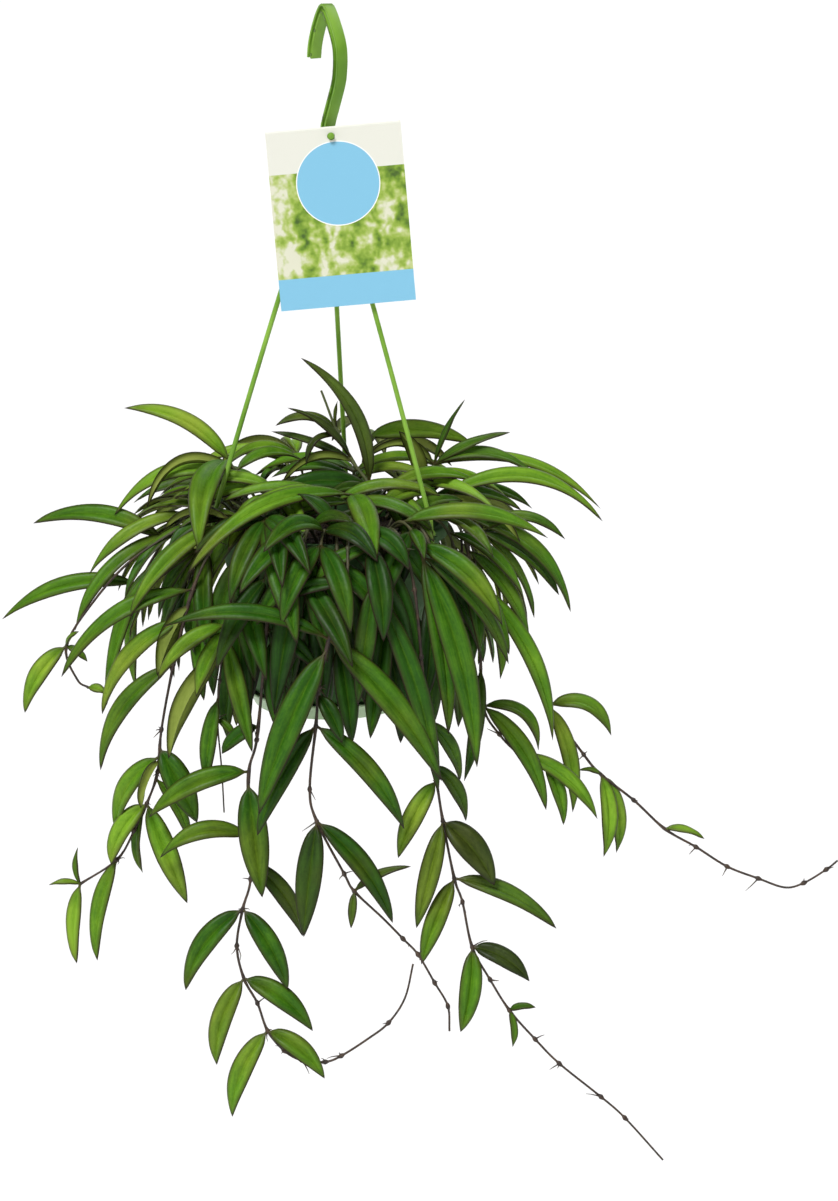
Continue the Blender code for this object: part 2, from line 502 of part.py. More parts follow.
CROWN = {
    "crown_top": dict(
        radius=1.2,
        route=[
            (22, -12, -311), (26, -6, -288), (14, 0, -270), (4, 0, -250), (-2, 0, -234),
            (-5, 0, -226),
        ],
        leaves=[
            (0.8, (-61, -20, -8), 9, 0.12, 0.5), (1.0, (-59, -12, 2), 14, 0.12, 0.6),
            (1.0, (-27, -20, 2), 8, 0.12, 0.6), (1.2, (-41, -5, 80), 10, 0.14, 0.7),
            (2.0, (-50, 4, 18), 6, 0.05, 0.6), (2.0, (-43, -14, -11), 8, 0.2, -0.5),
            (2.1, (-38, -8, 34), 6, 0.1, 0.6), (2.8, (-20, -12, -17), 5, 0.3, 0.5),
            (3.0, (-37, -5, 3), 7, 0.18, 0.6), (3.0, (1, 0, 18), 3, 0.05, 0.5),
        ],
    ),
    "crown_left_high": dict(
        route=[(-36, 10, -311), (-48, 8, -292), (-58, 5, -277), (-62, 4, -270)],
        leaves=[
            (1.6, (-79, -4, -22), 11, 0.2, 0.6), (2.2, (-53, -8, -22), 9, 0.3, -0.5),
            (2.8, (-14, -70, -42), 18, 0.2, 0.3), (2.8, (-65, 4, 33), 11, 0.14, 0.7),
            (1.2, (-34, 14, 8), 11, 0.15, 0.6), (2.0, (40, 16, 4), 9, 0.18, 0.5),
        ],
    ),
    "crown_left_low": dict(
        route=[
            (-48, -2, -311), (-70, -2, -299), (-86, -2, -302), (-102, -4, -318),
            (-118, -8, -345),
        ],
        leaves=[
            (2.0, (-62, -12, -36), 11, 0.12, 0.5), (3.0, (-84, 6, 14), 12, 0.13, 0.7),
            (2.8, (-57, -24, -56), 11, 0.13, 0.5), (4.0, (-86, 5, -24), 11, 0.12, 0.7),
            (4.0, (-4, 12, -72), 11, 0.05, 0.6), (3.6, (-26, -12, -84), 10, 0.06, 0.6),
        ],
    ),
    "crown_left_front": dict(
        route=[(-40, -30, -311), (-54, -42, -297), (-64, -50, -299), (-76, -56, -312)],
        leaves=[
            (1.5, (-40, 2, -8), 9, 0.2, -0.4), (2.0, (-53, -24, -50), 12, 0.1, 0.5),
            (2.6, (-44, 8, -40), 10, 0.12, 0.5), (3.0, (-48, -10, -42), 11, 0.1, 0.5),
            (3.0, (-24, 14, -52), 13, 0.05, 0.6), (3.0, (-26, 2, -44), 9, 0.1, 0.5),
        ],
    ),
    "crown_center": dict(
        radius=1.2,
        route=[(8, -30, -311), (12, -32, -297), (14, -34, -284)],
        leaves=[
            (2.0, (-96, -50, -38), 12, 0.16, 0.5), (2.0, (16, -54, -32), 15, 0.1, 0.6),
            (1.6, (-50, -30, -16), 10, 0.14, 0.5), (1.6, (50, -20, -14), 10, 0.14, 0.5),
        ],
    ),
    "crown_front_left": dict(
        route=[(-22, -40, -311), (-30, -56, -297), (-36, -66, -292)],
        leaves=[
            (2.0, (20, -32, -64), 17, 0.08, 0.7), (2.0, (-20, -26, -46), 12, 0.1, 0.6),
            (1.4, (-46, -4, -18), 11, 0.14, 0.5), (1.0, (6, -44, -34), 14, 0.18, 0.6),
            (2.0, (28, -22, -36), 13, 0.14, 0.6),
        ],
    ),
    "crown_front_mid": dict(
        route=[(0, -50, -311), (-1, -70, -298), (-3, -84, -304), (-4, -88, -322)],
        leaves=[
            (3.0, (-20, -2, -62), 13, 0.06, 0.6), (3.0, (22, -2, -66), 13, 0.06, 0.6),
            (3.0, (2, -2, -78), 14, 0.04, 0.7), (2.4, (-38, -6, -40), 12, 0.1, 0.6),
            (2.4, (42, -8, -42), 12, 0.1, 0.6), (1.2, (-34, -26, -10), 13, 0.2, 0.5),
            (1.2, (32, -28, -12), 13, 0.2, 0.5), (2.0, (-22, -24, -42), 13, 0.16, 0.6),
            (2.0, (18, -26, -46), 13, 0.16, 0.6),
        ],
    ),
    "crown_right_front": dict(
        route=[(32, -34, -311), (42, -52, -297), (50, -66, -299), (56, -76, -312)],
        leaves=[
            (1.2, (88, -2, -9), 12, 0.13, 0.5), (2.0, (8, -28, -12), 8, 0.1, 0.6),
            (2.6, (50, -22, -44), 14, 0.13, 0.6), (3.0, (33, -22, -124), 16, 0.07, 0.8),
            (3.0, (16, -14, -106), 14, 0.06, 0.6), (3.0, (52, -2, -66), 11, 0.1, 0.5),
            (2.0, (-18, -26, -44), 13, 0.16, 0.6),
        ],
    ),
    "crown_front_right": dict(
        route=[(18, -50, -311), (22, -72, -298), (26, -88, -305), (29, -96, -328)],
        leaves=[
            (3.0, (37, -10, -122), 13, 0.07, 0.7), (2.8, (-10, 2, -74), 12, 0.05, 0.6),
            (2.6, (14, 6, -60), 12, 0.06, 0.6), (2.0, (-34, -10, -20), 10, 0.14, 0.5),
            (1.2, (26, -28, -18), 13, 0.18, 0.6), (2.0, (8, -26, -50), 14, 0.14, 0.6),
        ],
    ),
    "crown_right": dict(
        route=[(44, -6, -311), (56, -8, -296), (68, -12, -290)],
        leaves=[
            (1.3, (58, 6, -6), 10, 0.15, 0.5), (1.7, (52, -6, -24), 10, 0.16, -0.4),
            (2.0, (100, 14, -18), 12, 0.2, 0.5), (2.0, (-43, -38, -8), 12, 0.2, 0.5),
        ],
    ),
    "crown_right_low": dict(
        route=[(48, 0, -311), (66, -2, -298), (80, -6, -300), (92, -10, -312)],
        leaves=[
            (2.4, (63, -8, -57), 12, 0.16, 0.5), (3.0, (52, -8, -3), 9, 0.22, 0.5),
            (3.0, (49, 0, -40), 11, 0.1, 0.5), (3.0, (42, 12, -28), 9, 0.12, 0.5),
            (3.0, (34, 6, -56), 8, 0.1, 0.5),
        ],
    ),
    "crown_right_drop": dict(
        route=[(50, -22, -311), (68, -26, -298), (80, -34, -306), (88, -46, -335)],
        leaves=[
            (3.0, (48, -6, -98), 12, 0.1, 0.6), (3.0, (16, 4, -62), 9, 0.1, 0.6),
            (2.4, (38, -6, -56), 10, 0.1, 0.6), (3.0, (-12, -8, -76), 12, 0.05, 0.6),
        ],
    ),
    "crown_right_back": dict(
        route=[(40, 20, -311), (54, 22, -292), (64, 22, -276)],
        leaves=[
            (1.2, (-14, -12, 36), 11, 0.1, -0.6), (2.0, (104, -2, -28), 9, 0.15, 0.5),
            (2.0, (63, 2, -10), 10, 0.16, 0.5), (2.0, (-42, -12, 4), 8, 0.25, -0.5),
            (2.0, (19, -6, 42), 5, 0.05, 0.6), (2.0, (47, 0, 21), 7, 0.06, 0.6),
        ],
    ),
    "crown_back_center": dict(
        route=[(14, 30, -311), (18, 44, -287), (22, 50, -264)],
        leaves=[
            (2.0, (66, 0, -4), 13, 0.1, 0.7), (2.0, (-24, 52, -12), 11, 0.2, -0.4),
            (1.6, (12, 62, -14), 12, 0.2, -0.4), (1.5, (56, 38, -14), 12, 0.18, -0.4),
        ],
    ),
    "crown_back_left": dict(
        route=[(-14, 34, -311), (-18, 46, -290), (-22, 52, -276)],
        leaves=[
            (2.0, (-46, -26, -4), 9, 0.18, 0.5), (2.0, (-52, 30, -14), 12, 0.2, -0.4),
            (2.0, (-10, 64, -22), 12, 0.2, -0.4), (1.5, (-66, 4, 0), 11, 0.15, 0.5),
        ],
    ),
    "crown_mid_front": dict(
        route=[(2, -22, -311), (4, -26, -296), (4, -30, -286)],
        leaves=[
            (2.0, (-62, -34, -12), 12, 0.14, 0.5), (1.5, (-34, -48, -26), 12, 0.12, 0.5),
            (1.6, (-70, -4, 0), 10, 0.14, 0.4), (1.6, (66, -2, 2), 10, 0.14, 0.4),
        ],
    ),
    "crown_mid_left": dict(
        route=[(-26, -14, -311), (-30, -18, -294), (-32, -20, -284)],
        leaves=[
            (2.0, (-66, -30, -20), 12, 0.14, 0.5), (2.0, (-58, 12, -6), 11, 0.14, 0.4),
            (1.5, (-18, -56, -30), 13, 0.12, 0.6), (2.0, (28, -50, -22), 12, 0.12, 0.5),
        ],
    ),
    "crown_mid_right": dict(
        route=[(26, -16, -311), (32, -18, -294), (34, -20, -284)],
        leaves=[
            (2.0, (60, 14, -6), 11, 0.14, 0.4), (1.5, (20, -56, -32), 13, 0.12, 0.6),
            (2.0, (-26, -50, -20), 12, 0.12, 0.5), (1.7, (46, -44, -36), 12, 0.12, 0.5),
        ],
    ),
    "crown_mid_back": dict(
        route=[(14, 16, -311), (14, 19, -292), (14, 20, -280)],
        leaves=[
            (2.0, (-64, 22, -8), 12, 0.14, 0.3), (2.0, (64, 24, -8), 12, 0.14, 0.3),
            (2.0, (-30, 54, -18), 12, 0.14, -0.3), (1.6, (32, 52, -16), 12, 0.14, -0.3),
            (1.5, (-50, -22, 6), 11, 0.14, 0.4), (1.5, (50, -26, 4), 11, 0.14, 0.4),
        ],
    ),
    "crown_mid_far_left": dict(
        route=[(-30, 18, -311), (-40, 18, -294), (-46, 18, -284)],
        leaves=[
            (2.0, (-62, 14, -14), 12, 0.14, 0.3), (2.0, (-44, 40, -16), 12, 0.14, -0.3),
            (1.5, (-58, -26, -4), 11, 0.14, 0.4), (1.5, (16, 44, 2), 10, 0.14, -0.3),
        ],
    ),
    "crown_mid_far_right": dict(
        route=[(36, 2, -311), (44, 4, -294), (48, 6, -284)],
        leaves=[
            (2.0, (62, 18, -14), 12, 0.14, 0.3), (2.0, (40, 44, -16), 12, 0.14, -0.3),
            (1.5, (56, -30, -8), 11, 0.14, 0.4), (1.5, (-8, 46, 2), 10, 0.14, -0.3),
        ],
    ),
}

BACK = {
    "vine_back_left": dict(
        route=[
            (-30, 44, -311), (-38, 62, -298), (-46, 78, -307), (-52, 86, -335),
            (-54, 86, -375), (-50, 84, -415), (-44, 84, -440),
        ],
        leaves=[
            (2.4, (-44, 20, -38), 12, 0.14, -0.5), (2.6, (20, 16, -56), 13, 0.1, -0.6),
            (3.6, (-34, 10, -60), 12, 0.1, -0.7), (3.6, (24, 12, -62), 13, 0.08, -0.7),
            (5.0, (-16, 8, -50), 12, 0.1, -0.7), (5.0, (22, 8, -42), 11, 0.1, -0.7),
        ],
    ),
    "vine_back_right": dict(
        route=[
            (34, 44, -311), (44, 60, -298), (54, 74, -307), (58, 84, -335),
            (56, 86, -375), (50, 84, -410),
        ],
        leaves=[
            (2.4, (46, 18, -36), 12, 0.14, -0.5), (2.6, (-22, 18, -54), 13, 0.1, -0.6),
            (3.6, (30, 10, -62), 12, 0.1, -0.7), (3.6, (-24, 12, -60), 13, 0.08, -0.7),
            (5.0, (14, 8, -48), 11, 0.1, -0.7), (5.0, (-22, 8, -44), 12, 0.1, -0.7),
        ],
    ),
    "crown_rear_left": dict(
        route=[(-42, 28, -311), (-58, 42, -298), (-70, 52, -304)],
        leaves=[
            (2.0, (-50, 20, -26), 12, 0.15, -0.5), (2.0, (-22, 34, -54), 12, 0.12, -0.6),
            (1.5, (-62, 0, -6), 11, 0.15, 0.4), (1.6, (10, 40, -30), 11, 0.16, -0.5),
        ],
    ),
    "crown_rear_mid": dict(
        route=[(-8, 54, -311), (-10, 72, -298), (-12, 86, -306)],
        leaves=[
            (2.0, (-18, 16, -64), 13, 0.1, -0.6), (2.0, (22, 16, -60), 13, 0.1, -0.6),
            (1.5, (-34, 30, -22), 11, 0.16, -0.5), (1.5, (36, 28, -18), 11, 0.16, -0.5),
        ],
    ),
    "crown_rear_right": dict(
        route=[(48, 26, -311), (64, 36, -298), (76, 44, -305)],
        leaves=[
            (2.0, (48, 24, -30), 12, 0.15, -0.5), (2.0, (18, 32, -56), 12, 0.12, -0.6),
            (1.5, (56, 2, -8), 11, 0.15, 0.4), (1.6, (-14, 42, -28), 11, 0.16, -0.5),
        ],
    ),
}

# Shoots that rise near the pot's wall and hang over its rim, in three shapes. Here a leaf's reach
# is outwards, across (counterclockwise) and up, from a shoot that points outwards.

RIM_ROUTE = [
    (44, 0, -311), (60, 0, -300.5), (74, 0, -298.5), (84, 0, -308), (87, 0, -324), (87, 0, -342),
    (85, 0, -362),
]
RIM_SHAPES = {
    "hanging": [
        (1.0, (22, 30, 10), 11, 0.14, 0.5), (2.0, (16, -36, -42), 13, 0.12, 0.6),
        (2.8, (10, 18, -82), 15, 0.06, 0.7), (3.4, (6, -16, -88), 15, 0.05, 0.7),
        (4.0, (10, 32, -56), 13, 0.08, 0.6), (4.6, (4, -28, -64), 13, 0.08, 0.6),
        (5.3, (8, 14, -72), 14, 0.06, 0.7), (6.0, (4, -8, -66), 13, 0.05, 0.7),
    ],
    "spreading": [
        (1.0, (40, 24, 10), 10, 0.16, 0.5), (2.0, (52, -20, -16), 11, 0.14, 0.5),
        (2.8, (46, 18, -44), 12, 0.12, 0.5), (3.4, (30, -20, -62), 12, 0.1, 0.6),
        (4.0, (38, 2, -54), 12, 0.1, 0.5), (4.5, (14, 26, -60), 12, 0.07, 0.6),
        (5.0, (10, -16, -66), 12, 0.06, 0.6),
    ],
}
RIM_SHOOTS = {  # angle round the pot, shape, size of its leaves, side that it leans to
    "crown_rim_left": (188, "spreading", 1.0, 1),
    "crown_rim_left_front": (211, "spreading", 0.95, -1),
    "crown_rim_front_left": (232, "hanging", 1.0, 1),
    "crown_rim_front_a": (247, "hanging", 0.9, -1),
    "crown_rim_front_b": (261, "hanging", 1.0, 1),
    "crown_rim_front_c": (274.5, "hanging", 0.95, -1),
    "crown_rim_front_d": (294, "hanging", 1.0, -1),
    "crown_rim_front_right": (316, "hanging", 1.05, 1),
    "crown_rim_right_front": (331, "spreading", 0.95, 1),
    "crown_rim_right": (11, "spreading", 1.0, -1),
    "crown_rim_right_back": (21, "spreading", 0.95, 1),
    "crown_rim_back_right": (40, "spreading", 0.9, -1),
    "crown_rim_back_a": (68, "hanging", 0.9, 1),
    "crown_rim_back_b": (110, "hanging", 0.9, -1),
    "crown_rim_back_left": (133, "spreading", 0.9, 1),
    "crown_rim_left_back": (160, "spreading", 1.0, -1),
    "crown_rim_left_mid": (172, "spreading", 1.05, 1),
}

LEAF_THICK = 1.0
LEAF_KEEL = 0.3  # rise of a leaf's edges above its midrib, as a share of its half width
LEAF_STATIONS = (0.14, 0.42, 0.74)


def route_point(line, place, steps):
    """The point at this place on a smoothed route of so many steps between its points."""
    at = min(place * steps, len(line) - 1.001)
    low = int(at)
    return line[low].lerp(line[low + 1], at - low)


def leaf_line(base, reach, arch):
    """A leaf's middle line as a function of t, and the side it bulges to."""
    along = reach.normalized()
    bulge = Vector((0, 0, 1)) + Vector((base.x, base.y, 0)) * 0.003
    bulge = (bulge - along * bulge.dot(along)).normalized()
    middle = base + reach * 0.5 + bulge * (2 * arch * reach.length)

    def point(t):
        return base * (1 - t) ** 2 + middle * (2 * t * (1 - t)) + (base + reach) * t**2

    return point, bulge


def leaf_mesh(name, base, reach, width, arch, face):
    """A closed keeled blade from a narrow stalk to a pointed tip."""
    point, bulge = leaf_line(base, reach, arch)
    bm = bmesh.new()
    rings = []
    for t in (0.0,) + LEAF_STATIONS:
        centre = point(t)
        along = (point(t + 0.02) - point(t - 0.02)).normalized()
        normal = bulge * (1 - abs(face)) + FRONT.normalized() * face
        normal = (normal - along * normal.dot(along)).normalized()
        side = along.cross(normal)
        half = 0.6 if t == 0.0 else width / 2 * math.sin(math.pi * t**0.85) ** 0.8
        thick = 0.6 if t == 0.0 else LEAF_THICK / 2
        rise = 0.0 if t == 0.0 else LEAF_KEEL * half
        rings.append(
            [
                bm.verts.new(centre - side * half + normal * rise),
                bm.verts.new(centre - normal * thick),
                bm.verts.new(centre + side * half + normal * rise),
                bm.verts.new(centre + normal * thick),
            ]
        )
    tip = bm.verts.new(point(1.0))
    for low, high in zip(rings, rings[1:]):
        for k in range(4):
            n = (k + 1) % 4
            bm.faces.new((low[k], low[n], high[n], high[k]))
    bm.faces.new(rings[0][::-1])
    for k in range(4):
        bm.faces.new((rings[-1][k], rings[-1][(k + 1) % 4], tip))
    bmesh.ops.recalc_face_normals(bm, faces=bm.faces)
    return bm


def rim_shoot(angle, shape, size, lean):
    """The route and leaves of a shoot that hangs over the rim at this angle."""
    turn = Matrix.Rotation(math.radians(angle), 3, "Z")
    towards_front = max(-math.sin(math.radians(angle)), 0.0)
    leaves = [
        (place, turn @ (Vector((out, lean * across, up)) * size), width, arch, face * towards_front)
        for place, (out, across, up), width, arch, face in RIM_SHAPES[shape]
    ]
    return dict(route=[turn @ Vector(point) for point in RIM_ROUTE], leaves=leaves)


def tree_of(obj):
    graph = bpy.context.evaluated_depsgraph_get()
    return BVHTree.FromObject(obj, graph)


def blade_tree(bm, skip_near, clear_of):
    """The leaf's faces that lie farther than so many mm from its base, in metres."""
    verts = [v.co * MM for v in bm.verts]
    faces = [
        [v.index for v in f.verts]
        for f in bm.faces
        if min((v.co - clear_of).length for v in f.verts) > skip_near
    ]
    return BVHTree.FromPolygons(verts, faces) if faces else None


TRIES = [
    (size, Vector(step) * shift)
    for size in (1.0, 0.85, 0.7)
    for shift in (0, 4, 8, 12, 18, 26)
    for step in (
        (0, -1, 0), (0, 1, 0), (0, -1, 0.5), (0, 1, 0.5), (0, -1, -0.5), (0, 1, -0.5),
        (0.5, 0, -0.5), (-0.5, 0, 0.5), (1, 0, 0), (-1, 0, 0),
    )
    if shift or step == (0, -1, 0)
]  # size of the leaf, and how far its tip moves


def settle_leaf(name, base, leaf, obstacles, own):
    """The leaf in its stated place, or in the nearest of many others where it touches nothing."""
    _, reach, width, arch, face = leaf
    for size, shift in TRIES:
        bm = leaf_mesh(name, base, Vector(reach) * size + shift, width * size, arch, face)
        bm.verts.index_update()
        whole = BVHTree.FromPolygons(
            [v.co * MM for v in bm.verts], [[v.index for v in f.verts] for f in bm.faces]
        )
        outer = blade_tree(bm, 7.0, base)
        hit = any(whole.overlap(other) for other in obstacles)
        hit = hit or (outer and any(outer.overlap(other) for other in own))
        if not hit:
            return bm, whole, outer
        bm.free()
    print("no room for a leaf of", name, [round(c) for c in reach])
    return None, None, None


def make_plant(parts, holder):
    shoots = {**VINES, **CROWN, **BACK}
    shoots.update({name: rim_shoot(*facts) for name, facts in RIM_SHOOTS.items()})
    leaf_green = material("leaf_green", (0.07, 0.2, 0.03), 0.35)
    steps = 2
    lines, stems, stem_trees = {}, {}, {}
    for name, shoot in shoots.items():
        route = shoot["route"]
        root = Vector(route[0])
        root.z = SOIL_Z + GAP
        lines[name] = smooth_route(route, steps)
        sides = 1 if name in VINES else 0
        radius = shoot.get("radius", STEM_R)
        stems[name] = tube(name, [root] + lines[name], radius, parts, sides)
        stems[name].data.materials.append(leaf_green)
        bpy.context.view_layer.update()
        stem_trees[name] = tree_of(stems[name])
    fixed = [tree_of(obj) for obj in holder]
    leaf_trees = {name: [] for name in shoots}
    for name, shoot in shoots.items():
        leaves = collection_named(name + "_leaves")
        own_blades = []
        for leaf in shoot["leaves"]:
            base = route_point(lines[name], leaf[0], steps)
            obstacles = list(fixed)
            for other in shoots:
                if other != name:
                    obstacles.append(stem_trees[other])
                    obstacles += leaf_trees[other]
            bm, whole, outer = settle_leaf(name, base, leaf, obstacles, own_blades + [stem_trees[name]])
            if bm is None:
                continue
            leaf_trees[name].append(whole)
            if outer:
                own_blades.append(outer)
            as_cutter(new_object(name + "_leaf", mesh_from(bm, name + "_leaf"), leaves))
        boolean(stems[name], "UNION", leaves)


def main():
    for obj in list(bpy.data.objects):
        bpy.data.objects.remove(obj)
    parts = collection_named("potted_hoya")
    pot = make_pot(parts)
    saucer = make_saucer(parts)
    soil = make_soil(parts)
    hanger = make_hanger(parts)
    card = make_card(parts)
    bpy.context.view_layer.update()
    make_plant(parts, [pot, saucer, soil, hanger, card])
    for obj in parts.objects:
        smooth_shade(obj)


main()
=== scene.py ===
import math
import random
from functools import partialmethod

import bmesh
import bpy
from mathutils import Matrix, Vector, noise
from mathutils.bvhtree import BVHTree


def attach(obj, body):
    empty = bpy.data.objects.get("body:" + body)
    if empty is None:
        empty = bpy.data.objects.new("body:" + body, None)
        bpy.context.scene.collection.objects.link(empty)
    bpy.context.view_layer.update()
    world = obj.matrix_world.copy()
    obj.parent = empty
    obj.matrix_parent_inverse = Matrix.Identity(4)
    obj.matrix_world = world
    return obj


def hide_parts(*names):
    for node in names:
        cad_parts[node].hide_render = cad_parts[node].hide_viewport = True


# Looks of a potted wax plant that hangs by its hook. Metres, +Z up, +Y away from the front.
# Shapes are made in millimetres.

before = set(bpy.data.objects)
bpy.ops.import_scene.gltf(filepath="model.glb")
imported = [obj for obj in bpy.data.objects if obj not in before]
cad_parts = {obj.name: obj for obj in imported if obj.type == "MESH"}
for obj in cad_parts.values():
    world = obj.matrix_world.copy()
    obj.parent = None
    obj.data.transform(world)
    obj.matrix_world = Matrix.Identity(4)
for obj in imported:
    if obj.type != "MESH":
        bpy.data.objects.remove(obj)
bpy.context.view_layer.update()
mm = 0.001
weldGap = 1e-4  # points nearer than this become one, in mm
print("frame:", len(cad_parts), "nodes")


class Wire:
    # a shader socket that can be used in sums
    def __init__(self, tree, socket):
        self.tree, self.socket = tree, socket

    def maths(self, operation, other, flipped=False):
        node = self.tree.nodes.new("ShaderNodeMath")
        node.operation = operation
        pair = (other, self) if flipped else (self, other)
        for place, value in zip(node.inputs, pair):
            plug(self.tree, place, value)
        return Wire(self.tree, node.outputs[0])

    __add__ = partialmethod(maths, "ADD")
    __radd__ = partialmethod(maths, "ADD", flipped=True)
    __sub__ = partialmethod(maths, "SUBTRACT")
    __rsub__ = partialmethod(maths, "SUBTRACT", flipped=True)
    __mul__ = partialmethod(maths, "MULTIPLY")
    __rmul__ = partialmethod(maths, "MULTIPLY", flipped=True)
    __pow__ = partialmethod(maths, "POWER")
    __lt__ = partialmethod(maths, "LESS_THAN")
    __gt__ = partialmethod(maths, "GREATER_THAN")


def linear(red, green, blue):
    # a colour from its 0 to 255 screen values
    return tuple(
        c / 12.92 if c <= 0.04045 else ((c + 0.055) / 1.055) ** 2.4
        for c in (red / 255, green / 255, blue / 255))


def plug(tree, place, value):
    # links a wire into a socket, or gives the socket a value
    if isinstance(value, Wire):
        tree.links.new(value.socket, place)
    elif isinstance(value, tuple) and len(value) == 3 and place.type == "RGBA":
        place.default_value = (*value, 1.0)
    else:
        place.default_value = value


class Nodes:
    # a node tree; add() makes any node
    def __init__(self, tree):
        self.tree = tree

    def add(self, kind, settings=None, inputs=None, output=0):
        node = self.tree.nodes.new("ShaderNode" + kind)
        for key, value in (settings or {}).items():
            setattr(node, key, value)
        for key, value in (inputs or {}).items():
            plug(self.tree, node.inputs[key], value)
        return Wire(self.tree, node.outputs[output])

    def ramp(self, share, stops):
        # a colour that changes with the share; each stop is a place and its screen values
        made = self.add("ValToRGB", None, {"Fac": share})
        elements = made.socket.node.color_ramp.elements
        while len(elements) < len(stops):
            elements.new(0.5)
        for element, (at, *colour) in zip(elements, stops):
            element.position = at
            element.color = (*linear(*colour), 1.0)
        return made

    def mix(self, share, low, high):
        return self.add("Mix", {"data_type": "RGBA"}, {0: share, 6: low, 7: high}, 2)

    def noise(self, place, scale, detail=3.0, roughness=0.5):
        return self.add("TexNoise", None, {
            "Vector": place, "Scale": scale, "Detail": detail, "Roughness": roughness})

    def smooth(self, value, low, high, start=0.0, end=1.0):
        return self.add("MapRange", {"interpolation_type": "SMOOTHSTEP"}, {
            0: value, 1: low, 2: high, 3: start, 4: end})

    def attribute(self, name):
        return self.add("Attribute", {"attribute_name": name}, None, 2)

    def objectPlace(self):
        return self.add("TexCoord", None, None, 3)


class Finish(Nodes):
    # a material with its shader
    def __init__(self, name, **settings):
        self.material = bpy.data.materials.new(name)
        self.material.use_nodes = True
        super().__init__(self.material.node_tree)
        self.shader = self.tree.nodes["Principled BSDF"]
        for title, value in settings.items():
            self.put(title, value)

    def put(self, title, value):
        plug(self.tree, self.shader.inputs[title.replace("_", " ")], value)

    def bump(self, height, strength, distance):
        self.put("Normal", self.add("Bump", None, {
            "Height": height, "Strength": strength, "Distance": distance}))


def addToScene(name, data):
    thing = bpy.data.objects.new(name, data)
    bpy.context.scene.collection.objects.link(thing)
    return thing


def finished(name, bm, finish, slot, *nodes, smoothAngle=40.0):
    # a bmesh in millimetres becomes a piece that rides on the frame
    mesh = bpy.data.meshes.new(name)
    bm.to_mesh(mesh)
    bm.free()
    mesh.transform(Matrix.Scale(mm, 4))
    mesh.shade_smooth()
    mesh.set_sharp_from_angle(angle=math.radians(smoothAngle))
    mesh.materials.append(finish.material)
    piece = addToScene(name, mesh)
    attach(piece, "root")
    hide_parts(*nodes)
    return piece


def turned(angle, axis="Z", size=3):
    # a turn in degrees
    return Matrix.Rotation(math.radians(angle), size, axis)


def around(angle, radius, z):
    # a point at this angle and distance from the upright axis
    turn = math.radians(angle)
    return Vector((radius * math.cos(turn), radius * math.sin(turn), z))


def smoothRoute(points, steps):
    # points on a Catmull-Rom curve through the route's own points
    route = [Vector(p) for p in points]
    ends = [route[0] * 2 - route[1]] + route + [route[-1] * 2 - route[-2]]
    made = []
    for i in range(len(route) - 1):
        a, b, c, d = ends[i:i + 4]
        for k in range(steps):
            t = k / steps
            made.append(0.5 * (
                2 * b + (c - a) * t + (2 * a - 5 * b + 4 * c - d) * t * t
                + (3 * b - a - 3 * c + d) * t**3))
    made.append(route[-1])
    return made


def weld(bm):
    # points that meet become one, and faces look outwards
    bmesh.ops.remove_doubles(bm, verts=bm.verts, dist=weldGap)
    bmesh.ops.recalc_face_normals(bm, faces=bm.faces)


def joinTo(bm, part):
    # everything in the part moves into the bmesh
    mesh = bpy.data.meshes.new("joined")
    part.to_mesh(mesh)
    part.free()
    bm.from_mesh(mesh)
    bpy.data.meshes.remove(mesh)


def sweep(bm, face):
    # a face is extruded, and the new end is still where the face was
    made = bmesh.ops.extrude_face_region(bm, geom=[face])["geom"]
    return next(g for g in made if isinstance(g, bmesh.types.BMFace))


def addRod(bm, points, radii, sidesResolution=3):
    # a round rod along the points, whose radius follows the list
    curve = bpy.data.curves.new("rodLine", "CURVE")
    curve.dimensions = "3D"
    curve.bevel_depth = 1.0
    curve.bevel_resolution = sidesResolution
    curve.use_fill_caps = True
    spline = curve.splines.new("POLY")
    spline.points.add(len(points) - 1)
    for target, point, radius in zip(spline.points, points, radii):
        target.co = (*point, 1.0)
        target.radius = radius
    line = bpy.data.objects.new("rodLine", curve)
    part = bmesh.new()
    part.from_mesh(line.to_mesh())
    weld(part)
    joinTo(bm, part)
    bpy.data.objects.remove(line)
    bpy.data.curves.remove(curve)


def addTurned(bm, profile, centre=(0, 0, 0), steps=48, axis="Z"):
    # a profile of radius and height, turned round its axis
    part = bmesh.new()
    line = [part.verts.new((r, 0, z)) for r, z in profile]
    edges = [part.edges.new(pair) for pair in zip(line, line[1:])]
    bmesh.ops.spin(
        part, geom=line + edges, cent=(0, 0, 0), axis=(0, 0, 1), angle=math.tau,
        steps=steps, use_merge=True)
    weld(part)
    if axis == "Y":
        bmesh.ops.rotate(part, matrix=Matrix.Rotation(math.pi / 2, 3, "X"), verts=part.verts)
    bmesh.ops.translate(part, vec=centre, verts=part.verts)
    joinTo(bm, part)


def plasticFinish(name, deep, pale, roughness):
    # moulded plastic: slightly milky, with a soft sheen, fine grain and a little unevenness
    made = Finish(name, Roughness=roughness, IOR=1.47, Specular_IOR_Level=0.28)
    place = made.objectPlace()
    cloud = made.noise(place, 28.0, 3.0)
    made.put("Base Color", made.mix(made.smooth(cloud, 0.3, 0.7), linear(*deep), linear(*pale)))
    made.put("Roughness", roughness + 0.12 * (made.noise(place, 160.0, 2.0) - 0.5))
    made.bump(made.noise(place, 900.0, 2.0), 0.12, 0.0004)
    return made


